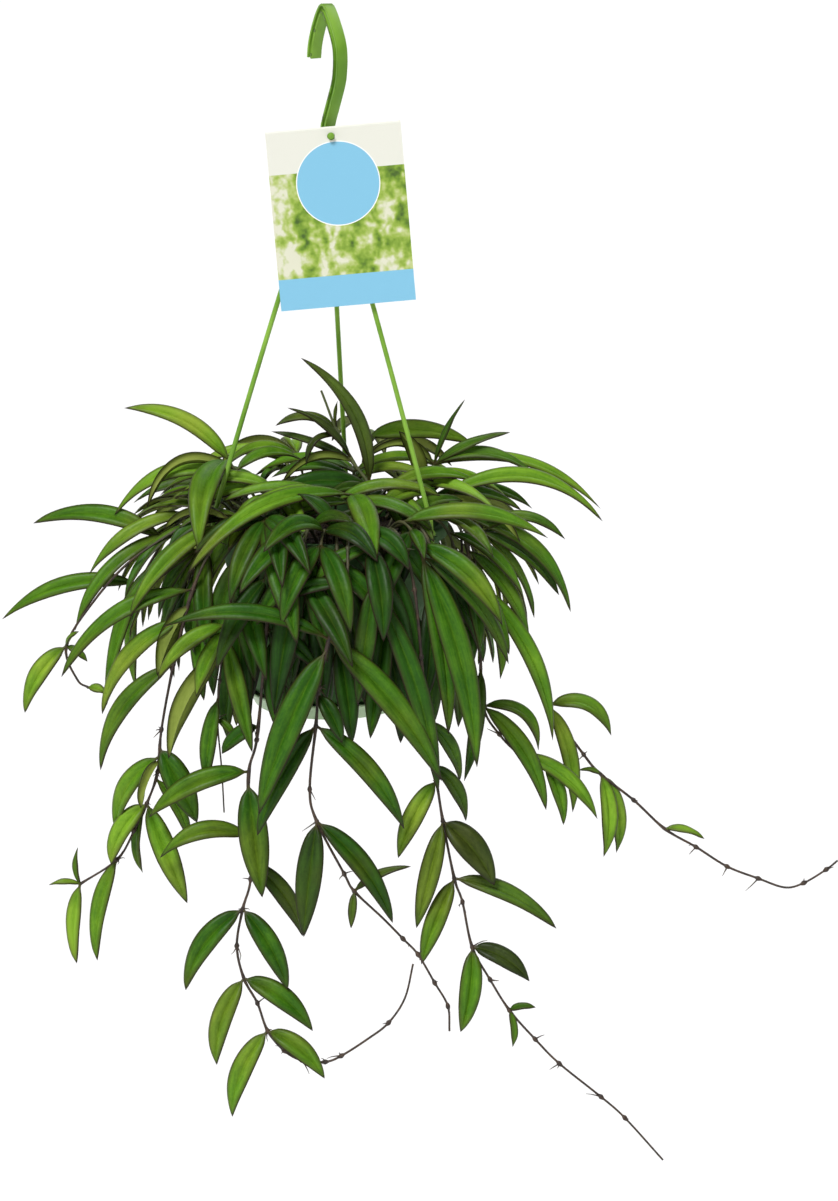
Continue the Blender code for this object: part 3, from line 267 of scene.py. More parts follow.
def soilFinish():
    # dark crumbs with a few paler grits
    made = Finish("pottingSoil", Roughness=0.95)
    place = made.objectPlace()
    crumbs = made.noise(place, 420.0, 5.0, 0.7)
    grit = made.noise(place, 150.0, 2.0)
    dark = made.mix(made.smooth(crumbs, 0.35, 0.7), linear(22, 16, 12), linear(68, 50, 36))
    made.put("Base Color", made.mix(made.smooth(grit, 0.66, 0.72), dark, linear(120, 104, 84)))
    made.bump(crumbs, 0.9, 0.002)
    return made


# Hanger: one moulding with a grooved hook strap, a hub and three thin arms. Profiles are pairs
# of radius and height, the hub's from hubZ and the lugs' from the rim.

hanger = {
    "colours": ((94, 138, 36), (126, 168, 60)), "roughness": 0.42,
    "hubZ": -92.0, "armAngles": (84.0, 204.0, 324.0), "armRadius": 1.5, "lugRadius": 76.5,
    "strapWidth": 7.4, "strapThick": 4.9, "grooveDepth": 1.9, "grooveHeight": 2.1,
    "strapBevel": 0.3, "sharpFold": 0.9, "hookTurn": 115.0, "strapTwist": 12.0,
    "pegPlace": (2.5, 0.0, -71.4), "pegRadius": 1.5, "pegEndY": -15.5,
    "strapLine": (  # along the hook's plane, and height
        (0, -92), (0, -74), (-1, -66), (-9, -53.5), (-17, -41), (-19.4, -33), (-20, -26),
        (-18.9, -19.6), (-15.4, -13.2), (-10.8, -7.2), (-5.4, -1.2), (0, 2.3), (5.4, -1.2),
        (10.8, -7.6), (15, -14), (18, -20.5), (19.6, -27.5)),
    "hub": (
        (0, 6), (4.6, 6), (5.6, 5), (6.2, 1), (9, -2), (9.4, -2.8), (9, -4), (7.2, -4.4),
        (6.6, -3), (0, -3)),
    "armStart": 5.5, "armSteps": 10, "armSag": (1.0, -0.6), "armRootRadii": [2.1, 1.7],
    "bendIn": 0.4, "bendAbove": 9, "endAbove": 3, "endBelow": 5,
    "lugs": (
        ((0, 3.4), (1.9, 3.4), (2.7, 1.6), (2.7, 0.4), (0, 0.4)),
        ((0, -2.4), (2.3, -2.4), (2.2, -3), (0.9, -6.6), (0, -6.8))),
    "lugSides": 20}
rimZ = -307.0


def strapRoute():
    # the middle line of the strap, and the way across its wide side
    flat = [Vector((u, 0, z)) for u, z in hanger["strapLine"]]
    turn = turned(hanger["hookTurn"])
    twisted = turned(hanger["hookTurn"] + hanger["strapTwist"])
    return [turn @ p for p in smoothRoute(flat, 3)], twisted @ Vector((0, 1, 0))


def addStrap(bm):
    # one outline with a groove in each narrow side, swept up and over the hook
    route, wide = strapRoute()
    halfW, halfT = hanger["strapWidth"] / 2, hanger["strapThick"] / 2
    web, groove = halfW - hanger["grooveDepth"], hanger["grooveHeight"] / 2
    corner = [(halfW, -halfT), (halfW, -groove), (web, -groove), (web, groove), (halfW, groove)]
    outline = corner + [(halfW, halfT)] + [(-a, -b) for a, b in corner] + [(-halfW, -halfT)]
    strap = bmesh.new()
    face = strap.faces.new([strap.verts.new((a, b, 0)) for a, b in outline])
    previous = Matrix.Identity(4)
    for i, centre in enumerate(route):
        along = (route[min(i + 1, len(route) - 1)] - route[max(i - 1, 0)]).normalized()
        across = (wide - along * wide.dot(along)).normalized()
        place = Matrix((across, along.cross(across), along)).transposed().to_4x4()
        place.translation = centre
        if i:
            face = sweep(strap, face)
        bmesh.ops.transform(strap, matrix=place @ previous.inverted(), verts=list(face.verts))
        previous = place
    bmesh.ops.recalc_face_normals(strap, faces=strap.faces)
    corners = [e for e in strap.edges if e.calc_face_angle(0) > hanger["sharpFold"]]
    bmesh.ops.bevel(
        strap, geom=corners, offset=hanger["strapBevel"], offset_type="OFFSET", segments=2,
        profile=0.5, affect="EDGES", material=-1, clamp_overlap=True)
    bmesh.ops.recalc_face_normals(strap, faces=strap.faces)
    joinTo(bm, strap)


def makeHanger():
    bm = bmesh.new()
    addStrap(bm)
    hubZ, steps, reach = hanger["hubZ"], hanger["armSteps"], hanger["lugRadius"]
    addTurned(bm, [(r, hubZ + z) for r, z in hanger["hub"]])
    for angle in hanger["armAngles"]:
        start = around(angle, hanger["armStart"], hubZ)
        bend = around(angle, reach - hanger["bendIn"], rimZ + hanger["bendAbove"])
        sag = around(angle, *hanger["armSag"])
        line = [
            start.lerp(bend, k / steps) + sag * math.sin(math.pi * k / steps)
            for k in range(steps + 1)]
        line += [around(angle, reach, rimZ + hanger["endAbove"])]
        line += [around(angle, reach, rimZ - hanger["endBelow"])]
        radii = hanger["armRootRadii"] + [hanger["armRadius"]] * (len(line) - 2)
        addRod(bm, line, radii)
        for profile in hanger["lugs"]:
            addTurned(bm, profile, around(angle, reach, rimZ), hanger["lugSides"])
    # the peg that the card hangs from, with a bead at its end
    r, end = hanger["pegRadius"], -hanger["pegEndY"]
    addTurned(bm, [
        (0, 0), (r, 0), (r, end - 1), (r + 0.5, end - 0.6), (r + 0.4, end + 0.4), (0.8, end + 0.9),
        (0, end + 1)], hanger["pegPlace"], 24, "Y")
    finish = plasticFinish("hangerPlastic", *hanger["colours"], hanger["roughness"])
    finished("hanger_moulding", bm, finish, "hanger_plastic", "hanger")


pot = {
    # colours partly the plastic's own green, partly painted shade, deepened for the shade under the
    # leaves
    "colours": ((50, 86, 42), (70, 108, 58)), "roughness": 0.72,
    "height": 105.0, "rimRadius": 72.5, "wallTop": 69.0, "wallBottom": 49.0, "wall": 1.2,
    "lip": 7.0, "wallStart": 3.0, "wallEnd": 4.0, "stepGap": 24.0, "stepOut": 0.35, "stepIn": 0.15,
    "lugRing": (  # round each arm's peg
        (1.85, -0.2), (1.85, -1.8), (2.1, -2), (3.6, -2), (3.9, -1.7), (3.9, -0.3), (3.6, 0),
        (2.1, 0), (1.85, -0.2)),
    "webSize": (4.6, 1.2, 1.7), "webIn": 3.6, "webAside": 3.0, "webBelow": 1.0}
saucer = {
    # colours partly the plastic's own pale green, partly painted shade, deepened for the shade that the
    # leaves cast on the saucer
    "colours": ((146, 174, 134), (172, 194, 158)), "roughness": 0.36,
    "radius": 53.0, "bottomZ": -421.0, "depth": 10.0, "wall": 1.2, "ridge": (38, 40),
    "seatGap": 0.3}
soil = {
    "topZ": -316.0, "lumps": 466, "rise": 1.6, "sink": 0.8, "bumps": (0.11, 0.35), "rings": 16,
    "wallGap": 4.6, "seed": 7, "lumpRadius": (0.7, 1.9), "uneven": (0.75, 1.2),
    "stretch": ((0.5, 1.4), (0.4, 0.8)), "spread": 0.96}


def rounded(profile, radius=0.4):
    # each corner of the profile is cut by two points, so that it catches light
    points = [Vector(p) for p in profile]
    made = [points[0]]
    for a, b, c in zip(points, points[1:], points[2:]):
        back, on = a - b, c - b
        cut = min(radius, back.length * 0.4, on.length * 0.4)
        made += [b + back.normalized() * cut, b + on.normalized() * cut]
    return [tuple(p) for p in made + [points[-1]]]


def makePot():
    top, bottom = rimZ, rimZ - pot["height"]
    wall, rim, wide, foot = pot["wall"], pot["rimRadius"], pot["wallTop"], pot["wallBottom"]
    start, lip = pot["wallStart"], top - pot["lip"]
    slope = (wide - foot) / (pot["height"] - start - pot["wallEnd"])
    outer = [
        (wide - wall - 0.4, top), (rim - 0.8, top), (rim, top - 0.8), (rim, lip),
        (rim - wall, lip), (rim - wall, top - 1.6), (wide + 0.6, top - 1.6), (wide, top - start)]
    for k in range(1, 4):  # shallow steps round the wall
        z = top - start - k * pot["stepGap"]
        r = wide - slope * (top - start - z)
        outer += [(r + pot["stepOut"], z + 0.5), (r - pot["stepIn"], z - 0.5)]
    outer += [
        (foot + 1.5, bottom + pot["wallEnd"]), (foot, bottom + 1), (foot - 1, bottom), (0, bottom)]
    inner = [
        (0, bottom + wall), (foot - 1.4, bottom + wall), (foot + 0.2, bottom + 4.2),
        (wide - wall - 0.4, top)]
    bm = bmesh.new()
    addTurned(bm, rounded(outer) + inner, steps=96)
    for angle in hanger["armAngles"]:
        lug = around(angle, hanger["lugRadius"], top)
        addTurned(bm, pot["lugRing"], lug, 28)
        for side in (-1, 1):
            web = bmesh.ops.create_cube(bm, size=1.0)["verts"]
            place = (-pot["webIn"], side * pot["webAside"], -pot["webBelow"])
            bmesh.ops.scale(bm, vec=pot["webSize"], verts=web)
            bmesh.ops.translate(bm, vec=place, verts=web)
            bmesh.ops.rotate(bm, matrix=turned(angle), verts=web)
            bmesh.ops.translate(bm, vec=lug, verts=web)
    finish = plasticFinish("potPlastic", *pot["colours"], pot["roughness"])
    finished("pot_moulding", bm, finish, "pot_plastic", "pot")


def makeSaucer():
    low, wall, r = saucer["bottomZ"], saucer["wall"], saucer["radius"]
    top, seat = low + saucer["depth"], rimZ - pot["height"] - saucer["seatGap"]
    ridgeIn, ridgeOut = saucer["ridge"]
    outer = [
        (r - wall, top), (r, top), (r, top - 1.6), (r - 1.4, top - 2.2), (r - 5, low + 0.6),
        (r - 6, low), (r - 10, low), (r - 10.6, low + 0.5), (0, low + 0.5)]
    inner = [
        (0, low + 1.7), (ridgeIn, low + wall), (ridgeIn, seat), (ridgeOut, seat),
        (ridgeOut, low + wall), (r - 6.6, low + wall), (r - wall - 1.4, top - 1.8),
        (r - wall, top)]
    bm = bmesh.new()
    addTurned(bm, rounded(outer, 0.35) + inner, steps=96)
    finish = plasticFinish("saucerPlastic", *saucer["colours"], saucer["roughness"])
    finished("saucer_moulding", bm, finish, "saucer_plastic", "saucer")


def makeSoil():
    # a plug with an uneven top, strewn with lumps
    bm = bmesh.new()
    top, bottom, foot = soil["topZ"], rimZ - pot["height"] + 1.6, pot["wallBottom"]
    edge, rings = pot["wallTop"] - soil["wallGap"], soil["rings"]
    profile = [(0, top)] + [(edge * k / rings, top) for k in range(1, rings + 1)]
    profile += [(foot - 1, bottom + 4.5), (foot - 3.5, bottom), (0, bottom)]
    addTurned(bm, profile, steps=72)
    coarse, fine = soil["bumps"]
    for v in bm.verts:
        if v.co.z > top - 0.1:
            uneven = noise.noise(v.co * coarse) + 0.5 * noise.noise(v.co * fine)
            v.co.z += soil["rise"] * uneven - soil["sink"]
    rand = random.Random(soil["seed"])
    for k in range(soil["lumps"]):
        size = rand.uniform(*soil["lumpRadius"])
        lump = bmesh.ops.create_icosphere(bm, subdivisions=1, radius=size)["verts"]
        for v in lump:
            v.co *= rand.uniform(*soil["uneven"])
        turn = Matrix.Rotation(rand.uniform(0, 6), 3, "X") @ Matrix.Rotation(rand.uniform(0, 6), 3, "Z")
        stretch = Matrix.Diagonal((1.0, *(rand.uniform(*ends) for ends in soil["stretch"])))
        bmesh.ops.transform(bm, matrix=(turn @ stretch).to_4x4(), verts=lump)
        out = edge * soil["spread"]
        place = around(rand.uniform(0, 360), out * math.sqrt(rand.random()), top - 0.3)
        bmesh.ops.translate(bm, vec=place, verts=lump)
    finished("soil_surface", bm, soilFinish(), "soil", "soil", smoothAngle=25.0)


# Label card: one folded sheet with plain printed fields. Places on it are across and up from its
# middle.

card = {
    "width": 80.5, "height": 106.0, "thick": 0.5, "roll": 5.0, "lean": 7.0, "spread": 2.2,
    "foldGap": 0.5, "columns": 12, "rows": 10, "centre": (8.1, -17.4, -118.5), "holeRadius": 2.3,
    "holeSlack": 0.3, "punchHalf": 14, "discRadius": 24.4, "discPlace": (0.3, 19.4),
    "discBorder": 0.6, "pictureTop": 27.2, "pictureBottom": -34.6,
    "cream": (214, 214, 203), "white": (236, 236, 233), "blue": (121, 181, 209),
    "foliage": (
        (0.16, 62, 90, 26), (0.3, 104, 138, 34), (0.44, 140, 166, 62), (0.56, 172, 186, 112),
        (0.72, 208, 208, 186))}


def cardFinish():
    made = Finish("printedCard", Roughness=0.42, Specular_IOR_Level=0.4)
    centre = Vector(card["centre"]) * mm
    upright = made.add("Mapping", {"vector_type": "TEXTURE"}, {
        "Vector": made.objectPlace(), "Location": centre,
        "Rotation": (math.radians(-card["lean"]), math.radians(-card["roll"]), 0.0)})
    split = made.add("SeparateXYZ", None, {0: upright}).socket.node
    x, y, z = (Wire(made.tree, place) * 1000.0 for place in split.outputs)
    cream, white, blue = (linear(*card[name]) for name in ("cream", "white", "blue"))

    def leafCells(turn, scale, stretch):
        # cells stretched one way, like leaves out of focus
        squeezed = made.add("Mapping", None, {
            "Vector": upright, "Rotation": (0, turn, 0), "Scale": (1.0, 0.0, stretch)})
        sway = made.add("VectorMath", {"operation": "SCALE"}, {
            0: made.add("TexNoise", None, {"Vector": upright, "Scale": 70.0}, 1), "Scale": 0.014})
        wavy = made.add("VectorMath", {"operation": "ADD"}, {0: squeezed, 1: sway})
        return made.add("TexVoronoi", {"feature": "SMOOTH_F1"}, {
            "Vector": wavy, "Scale": scale, "Smoothness": 0.5})

    light = made.noise(upright, 62.0, 3.0, 0.6) * 1.3 + made.noise(upright, 210.0, 2.0) * 0.5
    foliage = light - 0.15 - 0.35 * leafCells(0.75, 230.0, 0.4) - 0.3 * leafCells(-0.4, 170.0, 0.5)
    sides = made.smooth(x * -1.0 + made.noise(upright, 40.0, 2.0) * 26.0, 34.0, 52.0)
    foliage = foliage + 0.22 * sides + 0.1 * made.smooth(z * -1.0, 0.0, 26.0)
    picture = made.ramp(foliage, card["foliage"])
    printed = made.mix(z > card["pictureTop"], picture, cream)
    printed = made.mix(z < card["pictureBottom"], printed, blue)
    dx, dz = x - card["discPlace"][0], z - card["discPlace"][1]
    away = (dx * dx + dz * dz) ** 0.5
    printed = made.mix(away < card["discRadius"] + card["discBorder"], printed, white)
    printed = made.mix(away < card["discRadius"], printed, blue)
    made.put("Base Color", made.mix(y < 0.0, cream, printed))
    made.bump(made.noise(upright, 1400.0, 2.0), 0.05, 0.0002)
    return made


def punchedBy(piece, bm):
    # the piece's mesh without what the bmesh covers, both in metres
    cutter = addToScene("punch", bpy.data.meshes.new("punch"))
    bm.to_mesh(cutter.data)
    bm.free()
    cut = piece.modifiers.new("punched", "BOOLEAN")
    cut.object = cutter
    bpy.context.view_layer.update()
    graph = bpy.context.evaluated_depsgraph_get()
    punched = bpy.data.meshes.new_from_object(piece.evaluated_get(graph))
    piece.modifiers.remove(cut)
    bpy.data.objects.remove(cutter)
    return punched


def makeCard():
    bm = bmesh.new()
    t, half, spread, inner = card["thick"], card["height"] / 2, card["spread"], card["foldGap"] / 2
    outline = [
        (-inner - t, half - 1), (-inner, half), (inner, half), (inner + t, half - 1),
        (spread + t, -half), (spread, -half), (inner, half - 1.4), (-inner, half - 1.4),
        (-spread, -half), (-spread - t, -half)]
    face = bm.faces.new([bm.verts.new((-card["width"] / 2, y, z)) for y, z in outline])
    for k in range(card["columns"]):
        face = sweep(bm, face)
        vec = (card["width"] / card["columns"], 0, 0)
        bmesh.ops.translate(bm, vec=vec, verts=list(face.verts))
    for k in range(1, card["rows"]):
        bmesh.ops.bisect_plane(
            bm, geom=bm.verts[:] + bm.edges[:] + bm.faces[:], plane_no=(0, 0, 1),
            plane_co=(0, 0, (2 * k / card["rows"] - 1) * half))
    bmesh.ops.recalc_face_normals(bm, faces=bm.faces)
    place = Matrix.Translation(card["centre"])
    place = place @ turned(-card["lean"], "X", 4) @ turned(-card["roll"], "Y", 4)
    bmesh.ops.transform(bm, matrix=place, verts=bm.verts)
    piece = finished(
        "label_card_print", bm, cardFinish(), "card", "label_card", smoothAngle=30.0)
    r, deep = card["holeRadius"], card["punchHalf"]
    drop = r - hanger["pegRadius"] - card["holeSlack"]
    hole = Vector(hanger["pegPlace"]) + Vector((0, hanger["pegEndY"], -drop))
    punch = bmesh.new()
    addTurned(punch, [(0, -deep), (r, -deep), (r, deep), (0, deep)], hole, 32, "Y")
    bmesh.ops.scale(punch, vec=(mm, mm, mm), verts=punch.verts)
    piece.data = punchedBy(piece, punch)
    piece.data.shade_flat()


leafColours = {  # over the blade from shade to light, and on its edge, tip and stalk
    "grass": ((0, 18, 46, 6), (0.35, 38, 82, 9), (0.7, 78, 124, 20), (1, 118, 160, 38)),
    "olive": ((0, 42, 56, 10), (0.35, 70, 90, 18), (0.7, 106, 130, 34), (1, 142, 164, 52)),
    "lower": ((0, 72, 86, 30), (0.5, 110, 126, 48), (1, 142, 156, 68)),
    "young": (linear(42, 50, 16), linear(112, 114, 54)),
    "vein": (linear(128, 158, 52), linear(150, 160, 92)),
    "blush": (linear(20, 34, 6), linear(72, 78, 22)),
    "rim": linear(34, 20, 10), "tip": linear(40, 32, 20), "stalk": linear(62, 52, 28)}


def leafFinish():
    # waxy blade: deep green above, paler below, with a thin dark margin and a dark tip
    made = Finish("waxyLeaf", IOR=1.42, Specular_IOR_Level=0.23)
    edge, along, toneAndShade, under, middle, bronze = (made.attribute(name) for name in (
        "edgeMm", "alongLeaf", "toneAndShade", "underside", "rib", "bronze"))
    place = made.objectPlace()
    cloud = made.noise(place, 38.0, 4.0, 0.55)
    fleck = made.noise(place, 560.0, 3.0, 0.6)
    uneven = made.noise(place, 95.0, 3.0)
    lengthways = made.smooth(along, 0.0, 0.35, -0.12, 0.06)
    # fine streaks that run along each leaf, their own for every leaf's tone; they vary the roughness,
    # and in the colour they are painted sheen
    alongEdge = made.add("CombineXYZ", None, {"X": edge * 0.7, "Y": along * 5.0, "Z": toneAndShade * 60.0})
    sheenStreak = made.noise(alongEdge, 1.0, 4.0, 0.62)
    # the leaf's own tone, with painted light and shade from where the leaf sits in the plant
    shade = toneAndShade + lengthways + 0.6 * (cloud - 0.5) + 0.5 * (sheenStreak - 0.5) + 0.2 * (fleck - 0.5)
    grass, olive, lower = (made.ramp(shade, leafColours[n]) for n in ("grass", "olive", "lower"))
    upper = made.mix(made.smooth(made.noise(place, 17.0, 2.0), 0.44, 0.72), grass, olive)
    upper = made.mix(bronze * 0.65, upper, made.mix(shade, *leafColours["young"]))
    blade = made.mix(under, upper, lower)
    vein = made.smooth(middle, 0.5, 1.0)
    veined = made.mix(vein * 0.1, blade, made.mix(under, *leafColours["vein"]))
    ragged = edge + 1.2 * (made.noise(place, 150.0, 3.0) - 0.5)
    blush = made.mix(toneAndShade, *leafColours["blush"])
    blushed = made.mix(made.smooth(ragged, 0.0, 3.4, 0.78, 0.0), veined, blush)
    margin = 0.95 - 0.4 * made.smooth(made.noise(place, 24.0, 2.0), 0.35, 0.65)
    margin = made.smooth(edge, 0.3, 0.85, 1.0, 0.0) * margin
    rimmed = made.mix(margin, blushed, leafColours["rim"])
    tipped = made.mix(made.smooth(along, 0.93, 0.99), rimmed, leafColours["tip"])
    stalked = made.mix(made.smooth(along, 0.03, 0.09, 0.85, 0.0), tipped, leafColours["stalk"])
    made.put("Base Color", stalked)
    made.put("Roughness", 0.24 + 0.16 * cloud + 0.26 * sheenStreak + 0.1 * under)
    made.bump(uneven + 0.12 * fleck, 0.5, 0.0016)
    return made


def stemFinish():
    # brown bark, and green where the stem is young
    made = Finish("thinStem", Roughness=0.6)
    place = made.objectPlace()
    bark = made.noise(place, 190.0, 4.0, 0.6)
    brown = made.mix(made.smooth(bark, 0.35, 0.7), linear(36, 24, 18), linear(70, 52, 36))
    young = made.mix(bark, linear(70, 84, 40), linear(96, 110, 58))
    made.put("Base Color", made.mix(made.attribute("young"), brown, young))
    made.bump(made.noise(place, 700.0, 3.0), 0.5, 0.0006)
    return made


# Shoots: each is one stem with the leaves that grew on it. Its route starts above the soil. A
# leaf is: place along the route, reach to its tip, width, arch as a share of its length, and how
# far its blade faces the front: 1 full, 0 none, and below 0 with its underside.

vines = {  # these hang or trail far from the pot
    "vine_far_left": dict(route=[
        (-52, -12, -311), (-74, -18, -298), (-90, -24, -306), (-120, -32, -325), (-143, -32, -350),
        (-161, -30, -379), (-155, -30, -400), (-148, -31, -405)], leaves=[
        (5, (-26, -5, -41), 12, 0.1, 0.7), (5, (9, -3, 11), 4, 0.1, 0.5),
        (5, (13, -3, -9), 5, 0.1, 0.5), (7, (12, -4, -3), 6, 0.1, 0.5)]),
    "vine_left": dict(route=[
        (-38, -40, -311), (-54, -52, -298), (-66, -60, -307), (-80, -66, -335), (-92, -70, -380),
        (-100, -72, -420), (-103, -70, -447), (-110, -70, -467), (-118, -70, -484), (-129, -69, -503),
        (-152, -68, -519)], leaves=[
        (3, (-79, -8, -52), 12, 0.14, 0.5), (3.2, (-19, -16, -46), 13, 0.05, -0.6),
        (3.4, (-51, -6, -60), 12, 0.14, 0.6), (4, (-45, -4, -65), 12, 0.14, 0.6),
        (5.4, (22, -6, -45), 16, 0.08, 0.7), (5.7, (-10, -14, -26), 11, 0.1, -0.5),
        (5.6, (-27, 4, -49), 13, 0.14, 0.6), (6.2, (19, 6, -42), 8, 0.1, 0.6),
        (7, (-30, -4, -38), 13, 0.12, 0.6), (7, (24, -8, -61), 13.5, 0.08, 0.7),
        (7.3, (-2, 8, -42), 9, 0.08, 0.5), (9, (-13, -6, -63), 11, 0.08, 0.6),
        (10, (-3, -4, -50), 10, 0.06, 0.6), (10, (-1, 2, 23), 4, 0.1, 0.5),
        (10, (-19, -2, 0), 4, 0.1, 0.5)]),
    "vine_left_thin": dict(radius=0.8, route=[
        (-28, -48, -311), (-38, -66, -298), (-46, -80, -308), (-57, -82, -340), (-62, -80, -370),
        (-64, -78, -388), (-66, -76, -412), (-64, -75, -444), (-63, -75, -471)], leaves=[
        (3.4, (-40, -12, -30), 11, 0.12, 0.5), (3.5, (-17, -12, -38), 10, 0.08, 0.6),
        (3.6, (16, -10, -70), 11, 0.08, 0.6), (4, (-32, -14, -62), 15, 0.1, -0.6),
        (5.5, (-7, -8, -54), 10, 0.06, 0.6), (6, (11, -4, -11), 5, 0.1, 0.5)]),
    "vine_front_left": dict(route=[
        (-18, -46, -311), (-22, -70, -298), (-27, -84, -308), (-33, -90, -335), (-37, -90, -375),
        (-42, -87, -422), (-47, -86, -442), (-48, -84, -480), (-47, -85, -510), (-52, -85, -529),
        (-56, -84, -553), (-52, -84, -574), (-44, -84, -590), (-38, -84, -608), (-28, -84, -621),
        (-17, -85, -627), (-3, -85, -628), (7, -85, -624), (24, -86, -612), (36, -86, -602),
        (46, -86, -586), (51, -86, -564)], leaves=[
        (3.5, (30, -8, -22), 11, 0.1, 0.6), (4.8, (-22, -6, -18), 10, 0.1, 0.6),
        (6, (-60, -6, -27), 13, 0.12, 0.6), (6.2, (8, -12, -68), 17, 0.05, 0.7),
        (7.1, (-53, -8, -11), 12, 0.2, 0.5), (7.6, (31, 6, -50), 12, 0.1, 0.6),
        (9, (-35, -6, -50), 13.5, 0.13, 0.7), (9, (27, -8, -49), 13, 0.12, 0.7),
        (11, (-17, -6, -54), 13, 0.12, 0.7), (11, (42, -8, -31), 13, 0.13, 0.7),
        (13, (-22, -6, -54), 13, 0.12, 0.7), (13, (35, -8, -28), 12, 0.13, 0.7)]),
    "vine_front": dict(route=[
        (12, -52, -311), (13, -72, -297), (13, -92, -304), (12, -103, -323), (2, -104, -356),
        (-4, -105, -385), (-6, -105, -408), (-10, -105, -447), (-6, -105, -467), (10, -104, -500),
        (16, -104, -511), (33, -104, -528), (45, -104, -541), (54, -104, -551), (64, -104, -569),
        (72, -104, -584), (73, -104, -600)], leaves=[
        (3, (-48, 12, -21), 10, 0.12, 0.5), (4, (-97, -2, 8), 12, 0.14, 0.4),
        (4, (66, -8, -84), 16, 0.07, 0.6), (4.2, (-40, -16, -96), 17, 0.06, 0.7),
        (5.2, (14, -8, -27), 10, 0.1, 0.6), (6, (-35, -6, -66), 13, 0.07, 0.7),
        (6, (52, -6, -62), 13, 0.1, 0.6), (8, (-8, -10, -69), 15, 0.04, 0.7),
        (8, (45, -5, -62), 13, 0.1, 0.6), (10, (34, -4, 17), 6, 0.1, 0.5),
        (10, (-2, -4, -22), 5, 0.1, 0.5)]),
    "vine_front_right": dict(route=[
        (28, -46, -311), (38, -66, -298), (46, -80, -307), (52, -88, -330), (56, -90, -370),
        (60, -86, -420), (65, -81, -449), (69, -80, -475), (76, -78, -512), (81, -78, -527),
        (87, -78, -556), (98, -78, -577), (110, -78, -597), (126, -78, -616), (141, -78, -632),
        (167, -78, -654), (182, -78, -668), (206, -78, -696)], leaves=[
        (4.8, (20, 10, -40), 10, 0.1, 0.6), (5.6, (20, 8, -38), 10, 0.1, 0.6),
        (6, (-23, -6, -47), 12, 0.1, 0.7), (7, (-16, -6, -66), 12, 0.1, 0.7),
        (7, (31, -8, -38), 17, 0.08, 0.7), (8, (-20, -6, -53), 12, 0.1, 0.7),
        (8, (62, -6, -30), 12, 0.1, 0.5), (10, (-7, -6, -53), 13, 0.1, 0.7),
        (10, (35, -6, -20), 12, 0.12, 0.6), (12, (16, -3, 3), 5, 0.1, 0.5),
        (12, (2, -3, -23), 5, 0.1, 0.5)]),
    "vine_right": dict(route=[
        (52, -10, -311), (70, -18, -298), (84, -24, -306), (90, -30, -340), (92, -32, -380),
        (94, -30, -417), (104, -30, -435), (117, -30, -448), (132, -30, -454),
        (140, -30, -458)], leaves=[
        (4.3, (-10, -10, -70), 9, 0.06, 0.6), (5, (34, -6, -27), 10, 0.28, 0.4),
        (5, (39, -10, -64), 12, 0.1, 0.7), (7, (40, -6, -40), 11, 0.12, 0.6),
        (8, (12, -5, -38), 9, 0.08, 0.7)]),
    "vine_far_right": dict(route=[
        (54, 4, -311), (73, 6, -297), (90, 7, -306), (108, 4, -350), (124, 2, -398), (136, 0, -425),
        (158, 0, -457), (169, 0, -470), (190, 0, -487), (210, 0, -506), (230, 0, -518), (250, 0, -531),
        (270, 0, -539), (287, 0, -545), (299, 0, -542), (313, 0, -533), (320, 0, -527)], leaves=[
        (5, (39, -3, -19), 12, 0.25, 0.5), (5, (15, -6, -67), 11, 0.08, 0.7),
        (7, (-14, -4, 4), 4, 0.1, 0.5), (7, (2, -8, -52), 11, 0.08, 0.7),
        (7, (11, 6, -54), 11, 0.1, 0.7), (9, (25, -2, -6), 6, 0.1, 0.5)])}

